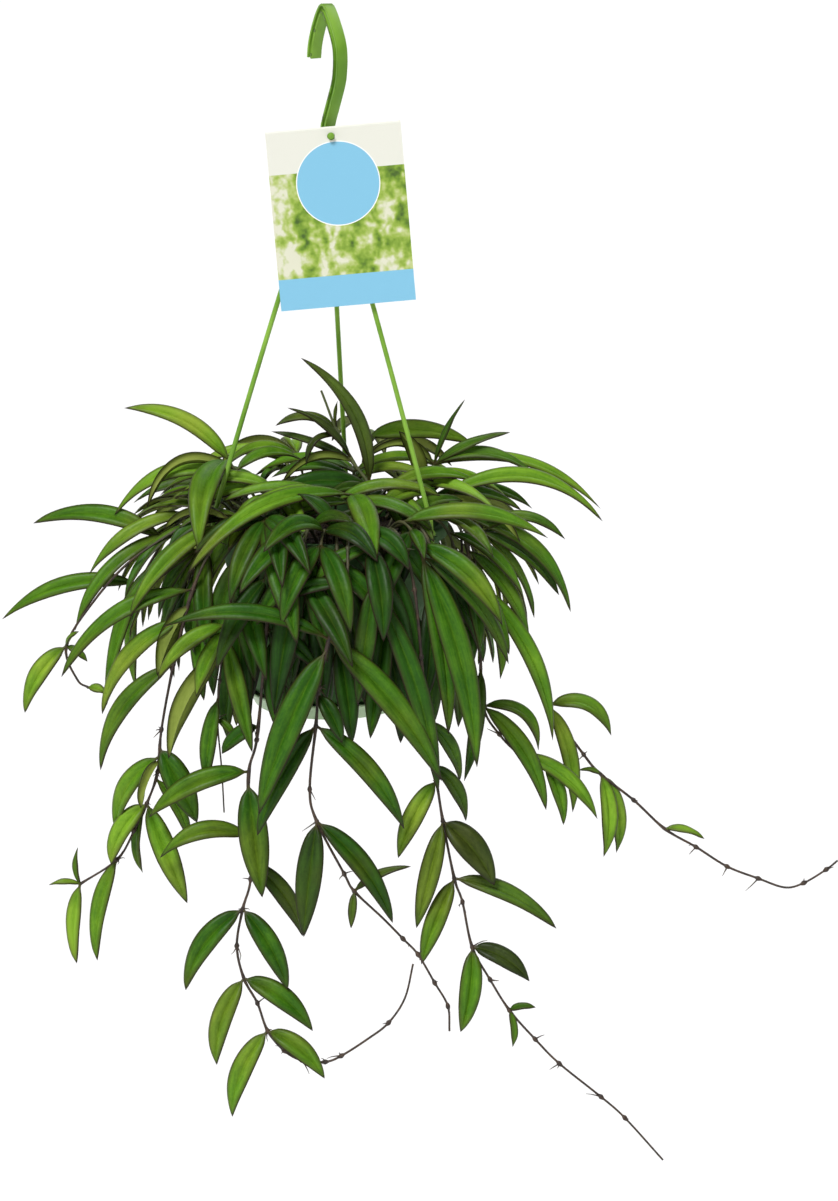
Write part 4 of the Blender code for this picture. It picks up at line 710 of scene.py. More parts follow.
crown = {  # short, over the soil
    "crown_top": dict(radius=1.2, route=[
        (22, -12, -311), (26, -6, -288), (14, 0, -270), (4, 0, -250), (-2, 0, -234),
        (-5, 0, -226)], leaves=[
        (0.8, (-61, -20, -8), 9, 0.12, 0.5), (1, (-59, -12, 2), 14, 0.12, 0.6),
        (1, (-27, -20, 2), 8, 0.12, 0.6), (1.2, (-41, -5, 80), 10, 0.14, 0.7),
        (2, (-50, 4, 18), 6, 0.05, 0.6), (2, (-43, -14, -11), 8, 0.2, -0.5),
        (2.1, (-38, -8, 34), 6, 0.1, 0.6), (2.8, (-20, -12, -17), 5, 0.3, 0.5),
        (3, (-37, -5, 3), 7, 0.18, 0.6), (3, (1, 0, 18), 3, 0.05, 0.5)]),
    "crown_left_high": dict(route=[
        (-36, 10, -311), (-48, 8, -292), (-58, 5, -277), (-62, 4, -270)], leaves=[
        (1.6, (-79, -4, -22), 11, 0.2, 0.6), (2.2, (-53, -8, -22), 9, 0.3, -0.5),
        (2.8, (-14, -70, -42), 18, 0.2, 0.3), (2.8, (-65, 4, 33), 11, 0.14, 0.7),
        (1.2, (-34, 14, 8), 11, 0.15, 0.6), (2, (40, 16, 4), 9, 0.18, 0.5)]),
    "crown_left_low": dict(route=[
        (-48, -2, -311), (-70, -2, -299), (-86, -2, -302), (-102, -4, -318), (-118, -8, -345)], leaves=[
        (2, (-62, -12, -36), 11, 0.12, 0.5), (3, (-84, 6, 14), 12, 0.13, 0.7),
        (2.8, (-57, -24, -56), 11, 0.13, 0.5), (4, (-86, 5, -24), 11, 0.12, 0.7),
        (4, (-4, 12, -72), 11, 0.05, 0.6), (3.6, (-26, -12, -84), 10, 0.06, 0.6)]),
    "crown_left_front": dict(route=[
        (-40, -30, -311), (-54, -42, -297), (-64, -50, -299), (-76, -56, -312)], leaves=[
        (1.5, (-40, 2, -8), 9, 0.2, -0.4), (2, (-53, -24, -50), 12, 0.1, 0.5),
        (2.6, (-44, 8, -40), 10, 0.12, 0.5), (3, (-48, -10, -42), 11, 0.1, 0.5),
        (3, (-24, 14, -52), 13, 0.05, 0.6), (3, (-26, 2, -44), 9, 0.1, 0.5)]),
    "crown_center": dict(radius=1.2, route=[
        (8, -30, -311), (12, -32, -297), (14, -34, -284)], leaves=[
        (2, (-96, -50, -38), 12, 0.16, 0.5), (2, (16, -54, -32), 15, 0.1, 0.6),
        (1.6, (-50, -30, -16), 10, 0.14, 0.5), (1.6, (50, -20, -14), 10, 0.14, 0.5)]),
    "crown_front_left": dict(route=[
        (-22, -40, -311), (-30, -56, -297), (-36, -66, -292)], leaves=[
        (2, (20, -32, -64), 17, 0.08, 0.7), (2, (-20, -26, -46), 12, 0.1, 0.6),
        (1.4, (-46, -4, -18), 11, 0.14, 0.5), (1, (6, -44, -34), 14, 0.18, 0.6),
        (2, (28, -22, -36), 13, 0.14, 0.6)]),
    "crown_front_mid": dict(route=[
        (0, -50, -311), (-1, -70, -298), (-3, -84, -304), (-4, -88, -322)], leaves=[
        (3, (-20, -2, -62), 13, 0.06, 0.6), (3, (22, -2, -66), 13, 0.06, 0.6),
        (3, (2, -2, -78), 14, 0.04, 0.7), (2.4, (-38, -6, -40), 12, 0.1, 0.6),
        (2.4, (42, -8, -42), 12, 0.1, 0.6), (1.2, (-34, -26, -10), 13, 0.2, 0.5),
        (1.2, (32, -28, -12), 13, 0.2, 0.5), (2, (-22, -24, -42), 13, 0.16, 0.6),
        (2, (18, -26, -46), 13, 0.16, 0.6)]),
    "crown_right_front": dict(route=[
        (32, -34, -311), (42, -52, -297), (50, -66, -299), (56, -76, -312)], leaves=[
        (1.2, (88, -2, -9), 12, 0.13, 0.5), (2, (8, -28, -12), 8, 0.1, 0.6),
        (2.6, (50, -22, -44), 14, 0.13, 0.6), (3, (33, -22, -124), 16, 0.07, 0.8),
        (3, (16, -14, -106), 14, 0.06, 0.6), (3, (52, -2, -66), 11, 0.1, 0.5),
        (2, (-18, -26, -44), 13, 0.16, 0.6)]),
    "crown_front_right": dict(route=[
        (18, -50, -311), (22, -72, -298), (26, -88, -305), (29, -96, -328)], leaves=[
        (3, (37, -10, -122), 13, 0.07, 0.7), (2.8, (-10, 2, -74), 12, 0.05, 0.6),
        (2.6, (14, 6, -60), 12, 0.06, 0.6), (2, (-34, -10, -20), 10, 0.14, 0.5),
        (1.2, (26, -28, -18), 13, 0.18, 0.6), (2, (8, -26, -50), 14, 0.14, 0.6)]),
    "crown_right": dict(route=[
        (44, -6, -311), (56, -8, -296), (68, -12, -290)], leaves=[
        (1.3, (58, 6, -6), 10, 0.15, 0.5), (1.7, (52, -6, -24), 10, 0.16, -0.4),
        (2, (100, 14, -18), 12, 0.2, 0.5), (2, (-43, -38, -8), 12, 0.2, 0.5)]),
    "crown_right_low": dict(route=[
        (48, 0, -311), (66, -2, -298), (80, -6, -300), (92, -10, -312)], leaves=[
        (2.4, (63, -8, -57), 12, 0.16, 0.5), (3, (52, -8, -3), 9, 0.22, 0.5),
        (3, (49, 0, -40), 11, 0.1, 0.5), (3, (42, 12, -28), 9, 0.12, 0.5),
        (3, (34, 6, -56), 8, 0.1, 0.5)]),
    "crown_right_drop": dict(route=[
        (50, -22, -311), (68, -26, -298), (80, -34, -306), (88, -46, -335)], leaves=[
        (3, (48, -6, -98), 12, 0.1, 0.6), (3, (16, 4, -62), 9, 0.1, 0.6),
        (2.4, (38, -6, -56), 10, 0.1, 0.6), (3, (-12, -8, -76), 12, 0.05, 0.6)]),
    "crown_right_back": dict(route=[
        (40, 20, -311), (54, 22, -292), (64, 22, -276)], leaves=[
        (1.2, (-14, -12, 36), 11, 0.1, -0.6), (2, (104, -2, -28), 9, 0.15, 0.5),
        (2, (63, 2, -10), 10, 0.16, 0.5), (2, (-42, -12, 4), 8, 0.25, -0.5),
        (2, (19, -6, 42), 5, 0.05, 0.6), (2, (47, 0, 21), 7, 0.06, 0.6)]),
    "crown_back_center": dict(route=[
        (14, 30, -311), (18, 44, -287), (22, 50, -264)], leaves=[
        (2, (66, 0, -4), 13, 0.1, 0.7), (2, (-24, 52, -12), 11, 0.2, -0.4),
        (1.6, (12, 62, -14), 12, 0.2, -0.4), (1.5, (56, 38, -14), 12, 0.18, -0.4)]),
    "crown_back_left": dict(route=[
        (-14, 34, -311), (-18, 46, -290), (-22, 52, -276)], leaves=[
        (2, (-46, -26, -4), 9, 0.18, 0.5), (2, (-52, 30, -14), 12, 0.2, -0.4),
        (2, (-10, 64, -22), 12, 0.2, -0.4), (1.5, (-66, 4, 0), 11, 0.15, 0.5)]),
    "crown_mid_front": dict(route=[
        (2, -22, -311), (4, -26, -296), (4, -30, -286)], leaves=[
        (2, (-62, -34, -12), 12, 0.14, 0.5), (1.5, (-34, -48, -26), 12, 0.12, 0.5),
        (1.6, (-70, -4, 0), 10, 0.14, 0.4), (1.6, (66, -2, 2), 10, 0.14, 0.4)]),
    "crown_mid_left": dict(route=[
        (-26, -14, -311), (-30, -18, -294), (-32, -20, -284)], leaves=[
        (2, (-66, -30, -20), 12, 0.14, 0.5), (2, (-58, 12, -6), 11, 0.14, 0.4),
        (1.5, (-18, -56, -30), 13, 0.12, 0.6), (2, (28, -50, -22), 12, 0.12, 0.5)]),
    "crown_mid_right": dict(route=[
        (26, -16, -311), (32, -18, -294), (34, -20, -284)], leaves=[
        (2, (60, 14, -6), 11, 0.14, 0.4), (1.5, (20, -56, -32), 13, 0.12, 0.6),
        (2, (-26, -50, -20), 12, 0.12, 0.5), (1.7, (46, -44, -36), 12, 0.12, 0.5)]),
    "crown_mid_back": dict(route=[
        (14, 16, -311), (14, 19, -292), (14, 20, -280)], leaves=[
        (2, (-64, 22, -8), 12, 0.14, 0.3), (2, (64, 24, -8), 12, 0.14, 0.3),
        (2, (-30, 54, -18), 12, 0.14, -0.3), (1.6, (32, 52, -16), 12, 0.14, -0.3),
        (1.5, (-50, -22, 6), 11, 0.14, 0.4), (1.5, (50, -26, 4), 11, 0.14, 0.4)]),
    "crown_mid_far_left": dict(route=[
        (-30, 18, -311), (-40, 18, -294), (-46, 18, -284)], leaves=[
        (2, (-62, 14, -14), 12, 0.14, 0.3), (2, (-44, 40, -16), 12, 0.14, -0.3),
        (1.5, (-58, -26, -4), 11, 0.14, 0.4), (1.5, (16, 44, 2), 10, 0.14, -0.3)]),
    "crown_mid_far_right": dict(route=[
        (36, 2, -311), (44, 4, -294), (48, 6, -284)], leaves=[
        (2, (62, 18, -14), 12, 0.14, 0.3), (2, (40, 44, -16), 12, 0.14, -0.3),
        (1.5, (56, -30, -8), 11, 0.14, 0.4), (1.5, (-8, 46, 2), 10, 0.14, -0.3)])}

back = {  # behind the pot
    "vine_back_left": dict(route=[
        (-30, 44, -311), (-38, 62, -298), (-46, 78, -307), (-52, 86, -335), (-54, 86, -375),
        (-50, 84, -415), (-44, 84, -440)], leaves=[
        (2.4, (-44, 20, -38), 12, 0.14, -0.5), (2.6, (20, 16, -56), 13, 0.1, -0.6),
        (3.6, (-34, 10, -60), 12, 0.1, -0.7), (3.6, (24, 12, -62), 13, 0.08, -0.7),
        (5, (-16, 8, -50), 12, 0.1, -0.7), (5, (22, 8, -42), 11, 0.1, -0.7)]),
    "vine_back_right": dict(route=[
        (34, 44, -311), (44, 60, -298), (54, 74, -307), (58, 84, -335), (56, 86, -375),
        (50, 84, -410)], leaves=[
        (2.4, (46, 18, -36), 12, 0.14, -0.5), (2.6, (-22, 18, -54), 13, 0.1, -0.6),
        (3.6, (30, 10, -62), 12, 0.1, -0.7), (3.6, (-24, 12, -60), 13, 0.08, -0.7),
        (5, (14, 8, -48), 11, 0.1, -0.7), (5, (-22, 8, -44), 12, 0.1, -0.7)]),
    "crown_rear_left": dict(route=[
        (-42, 28, -311), (-58, 42, -298), (-70, 52, -304)], leaves=[
        (2, (-50, 20, -26), 12, 0.15, -0.5), (2, (-22, 34, -54), 12, 0.12, -0.6),
        (1.5, (-62, 0, -6), 11, 0.15, 0.4), (1.6, (10, 40, -30), 11, 0.16, -0.5)]),
    "crown_rear_mid": dict(route=[
        (-8, 54, -311), (-10, 72, -298), (-12, 86, -306)], leaves=[
        (2, (-18, 16, -64), 13, 0.1, -0.6), (2, (22, 16, -60), 13, 0.1, -0.6),
        (1.5, (-34, 30, -22), 11, 0.16, -0.5), (1.5, (36, 28, -18), 11, 0.16, -0.5)]),
    "crown_rear_right": dict(route=[
        (48, 26, -311), (64, 36, -298), (76, 44, -305)], leaves=[
        (2, (48, 24, -30), 12, 0.15, -0.5), (2, (18, 32, -56), 12, 0.12, -0.6),
        (1.5, (56, 2, -8), 11, 0.15, 0.4), (1.6, (-14, 42, -28), 11, 0.16, -0.5)])}

# Shoots that rise near the pot's wall and hang over its rim, in two shapes. Here a leaf's reach
# is outwards, across (counterclockwise) and up, from a shoot that points outwards.

rimRoute = [
    (44, 0, -311), (60, 0, -300.5), (74, 0, -298.5), (84, 0, -308), (87, 0, -324), (87, 0, -342),
    (85, 0, -362)]
rimShapes = {
    "hanging": [
        (1, (22, 30, 10), 11, 0.14, 0.5), (2, (16, -36, -42), 13, 0.12, 0.6),
        (2.8, (10, 18, -82), 15, 0.06, 0.7), (3.4, (6, -16, -88), 15, 0.05, 0.7),
        (4, (10, 32, -56), 13, 0.08, 0.6), (4.6, (4, -28, -64), 13, 0.08, 0.6),
        (5.3, (8, 14, -72), 14, 0.06, 0.7), (6, (4, -8, -66), 13, 0.05, 0.7)],
    "spreading": [
        (1, (40, 24, 10), 10, 0.16, 0.5), (2, (52, -20, -16), 11, 0.14, 0.5),
        (2.8, (46, 18, -44), 12, 0.12, 0.5), (3.4, (30, -20, -62), 12, 0.1, 0.6),
        (4, (38, 2, -54), 12, 0.1, 0.5), (4.5, (14, 26, -60), 12, 0.07, 0.6),
        (5, (10, -16, -66), 12, 0.06, 0.6)]}
rimShoots = {  # angle round the pot, shape, size of its leaves, side that it leans to
    "crown_rim_left": (188, "spreading", 1, 1), "crown_rim_left_front": (211, "spreading", 0.95, -1),
    "crown_rim_front_left": (232, "hanging", 1, 1), "crown_rim_front_a": (247, "hanging", 0.9, -1),
    "crown_rim_front_b": (261, "hanging", 1, 1), "crown_rim_front_c": (274.5, "hanging", 0.95, -1),
    "crown_rim_front_d": (294, "hanging", 1, -1), "crown_rim_front_right": (316, "hanging", 1.05, 1),
    "crown_rim_right_front": (331, "spreading", 0.95, 1), "crown_rim_right": (11, "spreading", 1, -1),
    "crown_rim_right_back": (21, "spreading", 0.95, 1),
    "crown_rim_back_right": (40, "spreading", 0.9, -1), "crown_rim_back_a": (68, "hanging", 0.9, 1),
    "crown_rim_back_b": (110, "hanging", 0.9, -1), "crown_rim_back_left": (133, "spreading", 0.9, 1),
    "crown_rim_left_back": (160, "spreading", 1, -1), "crown_rim_left_mid": (172, "spreading", 1.05, 1)}

leaf = {
    "thick": 1.0, "keel": 0.3, "stations": (0.14, 0.42, 0.74), "bulgeOut": 0.003,
    "around": 24, "along": 28, "flesh": 1.5, "edgeFlesh": 0.7, "fineKeel": 0.28, "dome": 0.26,
    "stalk": 0.055, "stalkRadius": 0.8, "widest": 0.4, "wave": 0.6, "waves": 1.6,
    "ribHeight": 0.4, "ribWidth": 0.14, "ribbedFrom": 20, "plainEdge": 3.0, "stubHalf": 0.6,
    "swollen": 1.06, "seed": 11}
stem = {
    "steps": 2, "radius": 1.1, "clear": 7.0, "fineSteps": 6, "swelling": 1.5,
    "swellingReach": 0.16, "taper": (0.88, 0.3), "rooted": 0.3, "trailing": 8,
    "youngZ": -330, "youngBand": 60, "youngShare": 0.7}
rootlet = {  # bare: share of joints with none; sizes in mm; radii as shares of the stem's
    "bare": 0.2, "counts": (1, 2, 3), "sizes": (2.5, 3.5, 6.0, 9.0),
    "knot": (-2.4, -1.0, 0.0, 1.0, 2.4), "knotRadii": (0.6, 1.2, 1.5, 1.2, 0.6),
    "curl": ((0.35, 0.05), (0.7, 0.16), (0.95, 0.36)), "radii": (0.55, 0.36, 0.26, 0.12)}
toneAndShadeTerms = {  # base and spread; how much paler by distance from the middle, and by depth: painted light on leaves that stand out from the plant, painted shade on those in its middle
    "base": 0.2, "spread": 0.2, "clear": 0.42, "clearRadius": 190, "across": 0.6,
    "lowStart": 430, "lowRange": 700}
front = Vector((0.0, -1.0, 0.3)).normalized()
shootToneAndShade = {  # lighter or deeper than usual, by the start of a shoot's name: partly the shoot's own tone, partly painted shade, deeper for the shoots that hang at the front under the crown
    "crown_top": 0.08, "crown_left_high": 0.3, "crown_left_low": 0.1, "crown_center": 0.32,
    "crown_back": 0.52, "crown_mid": 0.26, "crown_right": 0.08, "crown_front": -0.16,
    "crown_rim_front": -0.18, "vine_far_left": 0.22, "vine_left": 0.12, "vine_far_right": 0.14,
    "vine_front": -0.14}
leafShades = {  # by shoot, a leaf's number: how much paler it is, and how bronze; the deeper tones are partly painted shade, for leaves that lie under the crown
    "crown_top": {
        0: (0, 0.2), 2: (0, 0.4), 3: (-0.08, 0.8), 4: (0, 0.4), 5: (0, 0.3), 6: (0, 0.5),
        7: (0, 0.6), 8: (0, 0.5), 9: (0, 0.8)},
    "crown_right_front": {2: (-0.16, 0), 3: (-0.24, 0), 4: (-0.22, 0), 5: (-0.1, 0)},
    "vine_front": {7: (-0.04, 0.4), 9: (-0.05, 0.7), 10: (0, 0.5)},
    "vine_front_left": {10: (0.4, 0), 11: (0.4, 0.15), 7: (-0.1, 0), 8: (0.1, 0.2)},
    "vine_front_right": {
        2: (0.25, 0), 3: (0.25, 0), 4: (-0.35, 0.9), 5: (0.25, 0), 6: (0.05, 0.4), 7: (0.3, 0),
        8: (-0.35, 0.9)}}
tries = [  # size of the leaf, and how far its tip moves
    (size, Vector(step) * shift)
    for size in (1.0, 0.85, 0.7)
    for shift in (0, 4, 8, 12, 18, 26)
    for step in (
        (0, -1, 0), (0, 1, 0), (0, -1, 0.5), (0, 1, 0.5), (0, -1, -0.5), (0, 1, -0.5),
        (0.5, 0, -0.5), (-0.5, 0, 0.5), (1, 0, 0), (-1, 0, 0))
    if shift or step == (0, -1, 0)]


def rimShoot(angle, shape, size, lean):
    # the route and leaves of a shoot that hangs over the rim at this angle
    turn = turned(angle)
    towardsFront = max(-math.sin(math.radians(angle)), 0.0)
    leaves = [
        (place, turn @ (Vector((out, lean * across, up)) * size), width, arch, face * towardsFront)
        for place, (out, across, up), width, arch, face in rimShapes[shape]]
    return {"route": [turn @ Vector(point) for point in rimRoute], "leaves": leaves}


def limited(value, low=0.0, high=1.0):
    return min(max(value, low), high)


def routePoint(line, place, steps):
    at = min(place * steps, len(line) - 1.001)
    low = int(at)
    return line[low].lerp(line[low + 1], at - low)


def leafLine(base, reach, arch):
    # the leaf's middle line, bent upwards and outwards, and the way that it bends
    along = reach.normalized()
    bulge = Vector((0, 0, 1)) + Vector((base.x, base.y, 0)) * leaf["bulgeOut"]
    bulge = (bulge - along * bulge.dot(along)).normalized()
    middle = base + reach * 0.5 + bulge * (2 * arch * reach.length)

    def point(t):
        return base * (1 - t) ** 2 + middle * (2 * t * (1 - t)) + (base + reach) * t**2

    return point, bulge


def bladeFrame(point, bulge, face, t):
    # the blade's middle, the way across it and the way out of its upper side
    along = (point(t + 0.02) - point(t - 0.02)).normalized()
    normal = bulge * (1 - abs(face)) + front * face
    normal = (normal - along * normal.dot(along)).normalized()
    return point(t), along.cross(normal), normal


def roughHalf(width, t):
    # half the width of the leaf that stands in for the fine one
    return width / 2 * max(math.sin(math.pi * t**0.85), 0.0) ** 0.8


def bladeHalf(width, t):
    # round at the stalk, widest at two fifths, and pointed at the tip
    widest = leaf["widest"]
    if t < widest:
        return width / 2 * math.sqrt(max(1 - (1 - t / widest) ** 2, 0.0)) ** 0.9
    return width / 2 * max(math.cos(math.pi / 2 * (t - widest) / (1 - widest)), 0.0) ** 0.85


def roughLeaf(base, reach, width, arch, face):
    # four sides from stalk to tip, which stand for the leaf while its place is tried
    point, bulge = leafLine(base, reach, arch)
    bm = bmesh.new()
    rings = []
    for t in (0.0,) + leaf["stations"]:
        centre, side, normal = bladeFrame(point, bulge, face, t)
        half, thick, rise = leaf["stubHalf"], leaf["stubHalf"], 0.0
        if t:
            half = roughHalf(width, t)
            thick, rise = leaf["thick"] / 2, leaf["keel"] * half
        rings.append([bm.verts.new(p) for p in (
            centre - side * half + normal * rise, centre - normal * thick,
            centre + side * half + normal * rise, centre + normal * thick)])
    tip = bm.verts.new(point(1.0))
    for low, high in zip(rings, rings[1:]):
        for k in range(4):
            bm.faces.new((low[k], low[k - 3], high[k - 3], high[k]))
    bm.faces.new(rings[0][::-1])
    for k in range(4):
        bm.faces.new((rings[-1][k], rings[-1][k - 3], tip))
    return bm


def treeOf(bm, clearOf=None, clear=0.0):
    # the faces to test for touching, without those near a point
    bm.verts.index_update()
    faces = [
        [v.index for v in f.verts] for f in bm.faces
        if clearOf is None or min((v.co - clearOf).length for v in f.verts) > clear]
    return BVHTree.FromPolygons([v.co for v in bm.verts], faces) if faces else None


def settled(base, stated, obstacles, own):
    # the leaf's reach and width as stated, or the nearest of many others where it touches nothing
    reach, width, arch, face = stated[1:5]
    for size, shift in tries:
        tried = Vector(reach) * size + shift
        bm = roughLeaf(base, tried, width * size, arch, face)
        whole, outer = treeOf(bm), treeOf(bm, base, stem["clear"])
        bm.free()
        hit = any(whole.overlap(other) for other in obstacles)
        hit = hit or (outer and any(outer.overlap(other) for other in own))
        if not hit:
            return tried, width * size, whole, outer
    return None, None, None, None


def addLeaf(bm, layers, base, reach, width, arch, face, toneAndShade, bronze, rand):
    # a grid wrapped round the blade's section: x goes round it, y from the stalk to the tip
    point, bulge = leafLine(base, reach, arch)
    phase, bend = rand.uniform(0, math.tau), rand.uniform(-0.5, 0.5)
    rows, stalk, thin = leaf["along"], leaf["stalk"], leaf["stalkRadius"]
    sheet = bmesh.ops.create_grid(bm, x_segments=leaf["around"], y_segments=rows, size=1.0)
    for v in sheet["verts"]:
        turn = math.pi * (v.co.x + 1)
        row = round((v.co.y + 1) / 2 * rows)
        t = max(0.0, (row - 1) / (rows - 1))
        centre, side, normal = bladeFrame(point, bulge, face, min(t, 0.999))
        blade = limited((t - stalk) / (1 - stalk))
        half = bladeHalf(width * leaf["swollen"], blade)
        u, up = math.cos(turn), math.sin(turn)
        flesh = leaf["edgeFlesh"] + (leaf["flesh"] - leaf["edgeFlesh"]) * (1 - abs(u)) ** 0.7
        flesh = min(flesh, 0.4 + half * 0.9)
        bladeShare = min(half / (thin * 2.5), 1.0)  # 0 on the stalk, 1 on the blade
        radius = thin * (1 - blade) ** 3
        if row in (0, rows):
            half, flesh, radius = 0.0, 0.0, 0.0
        across = u * max(half, radius)
        curl = leaf["fineKeel"] * abs(u) + leaf["dome"] * math.sin(math.pi * abs(u))
        ripple = leaf["wave"] * u * math.sin(math.tau * leaf["waves"] * t + phase) * blade
        rise = bladeShare * (half * curl * (1 + bend * 0.3) + ripple)
        skin = math.copysign(abs(up) ** 0.6, up) * 0.5
        rise += skin * (flesh * bladeShare + radius * 2 * (1 - bladeShare))
        rib = math.exp(-(u / leaf["ribWidth"]) ** 2) * bladeShare
        if up < 0:
            rise -= leaf["ribHeight"] * rib * (1 - blade)
        v.co = centre + side * across + normal * rise
        for key, value in (
                ("edgeMm", half * (1 - abs(u)) + (leaf["plainEdge"] if blade < 0.02 else 0.0)),
                ("alongLeaf", t), ("toneAndShade", toneAndShade), ("bronze", bronze),
                ("underside", 1.0 if up < -0.01 else 0.0),
                ("rib", rib if reach.length > leaf["ribbedFrom"] else 0.0)):
            v[layers[key]] = value


def addStem(bm, line, radius, places):
    # a rod with a swelling where each leaf grows, thinner towards its end
    count = len(line) - 1
    thick, loss = stem["taper"]
    radii = []
    for i in range(count + 1):
        taper = thick - loss * i / count
        near = min((abs(i / stem["fineSteps"] - place) for place in places), default=9)
        bump = (stem["swelling"] - 1) * math.exp(-(near / stem["swellingReach"]) ** 2)
        radii.append(radius * taper * (1 + bump))
    addRod(bm, line, radii, 2)


def addRootlets(bm, line, radius, rand):
    # fine curled aerial roots and dry knots at the joints of a trailing stem
    for i in range(stem["fineSteps"] * 2, len(line) - 1, stem["fineSteps"]):
        if rand.random() < rootlet["bare"]:
            continue
        base = line[i]
        along = (line[i + 1] - line[i - 1]).normalized()
        knot = [base + along * step for step in rootlet["knot"]]
        addRod(bm, knot, [radius * share for share in rootlet["knotRadii"]], 1)
        for k in range(rand.choice(rootlet["counts"])):
            out = Vector((rand.uniform(-1, 1), rand.uniform(-1, 0.6), rand.uniform(-0.8, 0.8)))
            out.normalize()
            size = rand.choice(rootlet["sizes"])
            bend = Vector((rand.uniform(-1, 1), rand.uniform(-1, 1), rand.uniform(-1, 0))) * size
            points = [base] + [
                base + out * size * far + bend * turn for far, turn in rootlet["curl"]]
            addRod(bm, points, [radius * share for share in rootlet["radii"]], 1)


def leafToneAndShade(name, base, reach, rand):
    # painted light and shade: leaves that stand clear of the others, and low ones, are painted paler as
    # if lit, and the rest deeper as if in shade; the shoot's shift and a random spread of the leaves'
    # own tone are added
    tip = base + reach
    clear = math.hypot(tip.x, tip.y * toneAndShadeTerms["across"]) / toneAndShadeTerms["clearRadius"]
    clear += max(-tip.z - toneAndShadeTerms["lowStart"], 0.0) / toneAndShadeTerms["lowRange"]
    shade = next((lift for start, lift in shootToneAndShade.items() if name.startswith(start)), 0.0)
    spread = rand.uniform(-toneAndShadeTerms["spread"], toneAndShadeTerms["spread"])
    return limited(toneAndShadeTerms["base"] + toneAndShadeTerms["clear"] * clear + shade + spread)


def makeShoots(shoots):
    # every stem first, and then leaf after leaf, each where it touches nothing made before it
    leafLook, stemLook = leafFinish(), stemFinish()
    fixed = []
    for node in ("pot", "saucer", "soil", "hanger", "label_card"):
        bm = bmesh.new()
        bm.from_mesh(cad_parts[node].data)
        bmesh.ops.scale(bm, vec=(1 / mm, 1 / mm, 1 / mm), verts=bm.verts)
        fixed.append(treeOf(bm))
        bm.free()
    lines, stemTrees = {}, {}
    for name, shoot in shoots.items():
        lines[name] = smoothRoute(shoot["route"], stem["steps"])
        root = Vector(shoot["route"][0])
        root.z = soil["topZ"] + stem["rooted"]
        rod = [root] + lines[name]
        radius = shoot.get("radius", stem["radius"])
        bm = bmesh.new()
        addRod(bm, rod, [radius] * len(rod), 1 if name in vines else 0)
        stemTrees[name] = treeOf(bm)
        bm.free()
    leafTrees = {name: [] for name in shoots}
    rand = random.Random(leaf["seed"])
    for name, shoot in shoots.items():
        own = [stemTrees[name]]
        leaves, stalks = bmesh.new(), bmesh.new()
        layers = {
            key: leaves.verts.layers.float.new(key)
            for key in ("edgeMm", "alongLeaf", "toneAndShade", "underside", "rib", "bronze")}
        for number, stated in enumerate(shoot["leaves"]):
            base = routePoint(lines[name], stated[0], stem["steps"])
            obstacles = list(fixed)
            for other in shoots:
                if other != name:
                    obstacles += [stemTrees[other]] + leafTrees[other]
            reach, width, whole, outer = settled(base, stated, obstacles, own)
            if reach is None:
                continue
            leafTrees[name].append(whole)
            if outer:
                own.append(outer)
            # a leaf's own tone and bronze, where deeper tones are partly painted shade
            paler, bronze = leafShades.get(name, {}).get(number, (0.0, 0.0))
            toneAndShade = leafToneAndShade(name, base, reach, rand) + paler
            addLeaf(leaves, layers, base, reach, width, *stated[3:5], toneAndShade, bronze, rand)
        weld(leaves)
        finished(name + "_leaves", leaves, leafLook, "leaf", name, smoothAngle=70.0)
        young = stalks.verts.layers.float.new("young")
        fine = smoothRoute(shoot["route"], stem["fineSteps"])
        radius = shoot.get("radius", stem["radius"])
        addStem(stalks, fine, radius, [stated[0] for stated in shoot["leaves"]])
        if len(shoot["route"]) > stem["trailing"]:
            addRootlets(stalks, fine, radius, rand)
        for v in stalks.verts:
            green = limited((v.co.z - stem["youngZ"]) / stem["youngBand"])
            v[young] = green * stem["youngShare"]
        finished(name + "_stem", stalks, stemLook, "stem", name, smoothAngle=60.0)


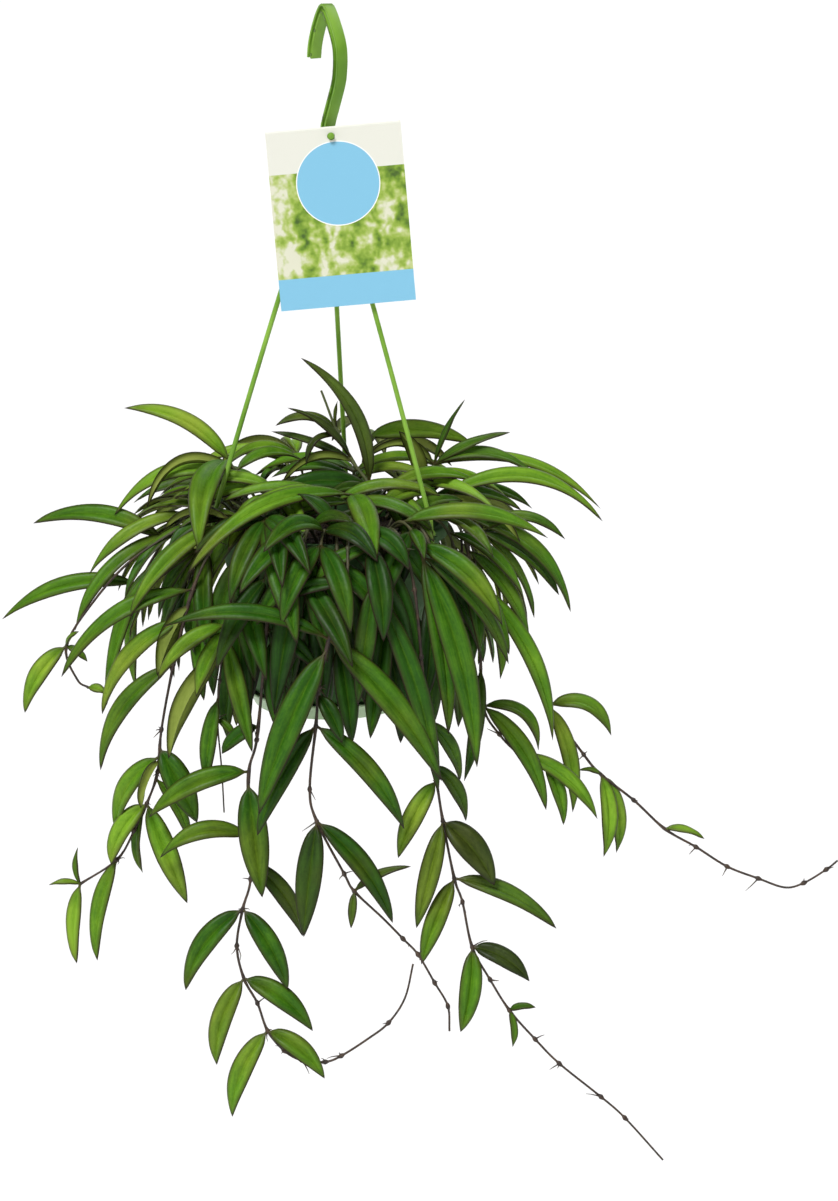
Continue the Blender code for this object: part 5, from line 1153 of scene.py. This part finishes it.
camera = {
    "place": (0.0546, -1.7016, 0.051), "tilt": 76.5, "lens": 84.62, "sensor": 36.0, "far": 300.0}
studio = {
    "floorZ": -3.6, "floorSize": 240.0, "paper": (0.95, 0.95, 0.95), "horizon": 1.0,
    "overhead": 0.1,
    "horizonTop": (0.2, 0.34),  # sines of the heights where the bright band starts to fade and ends
    "suns": (  # name, from, strength, angle
        ("softSun", (-0.35, -0.72, 1.0), 3.1, 20.0), ("backSun", (0.5, 0.75, 0.9), 0.85, 40.0))}


def makeStudio():
    scene = bpy.context.scene
    scene.view_settings.view_transform = "Standard"
    lens = bpy.data.cameras.new("camera")
    lens.lens, lens.sensor_width, lens.clip_end = camera["lens"], camera["sensor"], camera["far"]
    scene.camera = addToScene("camera", lens)
    scene.camera.location = camera["place"]
    scene.camera.rotation_euler = (math.radians(camera["tilt"]), 0, 0)
    scene.world = bpy.data.worlds.new("studio")
    scene.world.use_nodes = True
    sky = Nodes(scene.world.node_tree)
    height = sky.add("SeparateXYZ", None, {0: sky.add("TexCoord")}, 2)
    light = sky.smooth(height, *studio["horizonTop"], studio["horizon"], studio["overhead"])
    glow = sky.tree.nodes["Background"]
    plug(sky.tree, glow.inputs["Color"], (1.0, 1.0, 1.0))
    plug(sky.tree, glow.inputs["Strength"], light)
    for name, place, strength, angle in studio["suns"]:
        sun = bpy.data.lights.new(name, "SUN")
        sun.energy, sun.angle = strength, math.radians(angle)
        lamp = addToScene(name, sun)
        lamp.rotation_euler = Vector(place).to_track_quat("Z", "Y").to_euler()
    bm = bmesh.new()
    bmesh.ops.create_grid(bm, x_segments=4, y_segments=4, size=studio["floorSize"])
    bmesh.ops.translate(bm, vec=(0, 0, studio["floorZ"]), verts=bm.verts)
    mesh = bpy.data.meshes.new("floor")
    bm.to_mesh(mesh)
    bm.free()
    paper = Finish("palePaper", Base_Color=studio["paper"], Roughness=0.9)
    mesh.materials.append(paper.material)
    floor = addToScene("floor", mesh)


makeStudio()
print("studio: camera, light and floor")
makeHanger()
print("hanger")
makePot()
makeSaucer()
makeSoil()
print("pot, saucer and soil")
makeCard()
print("label card")
shoots = {**vines, **crown, **back}
shoots.update({name: rimShoot(*facts) for name, facts in rimShoots.items()})
makeShoots(shoots)
print("plant")
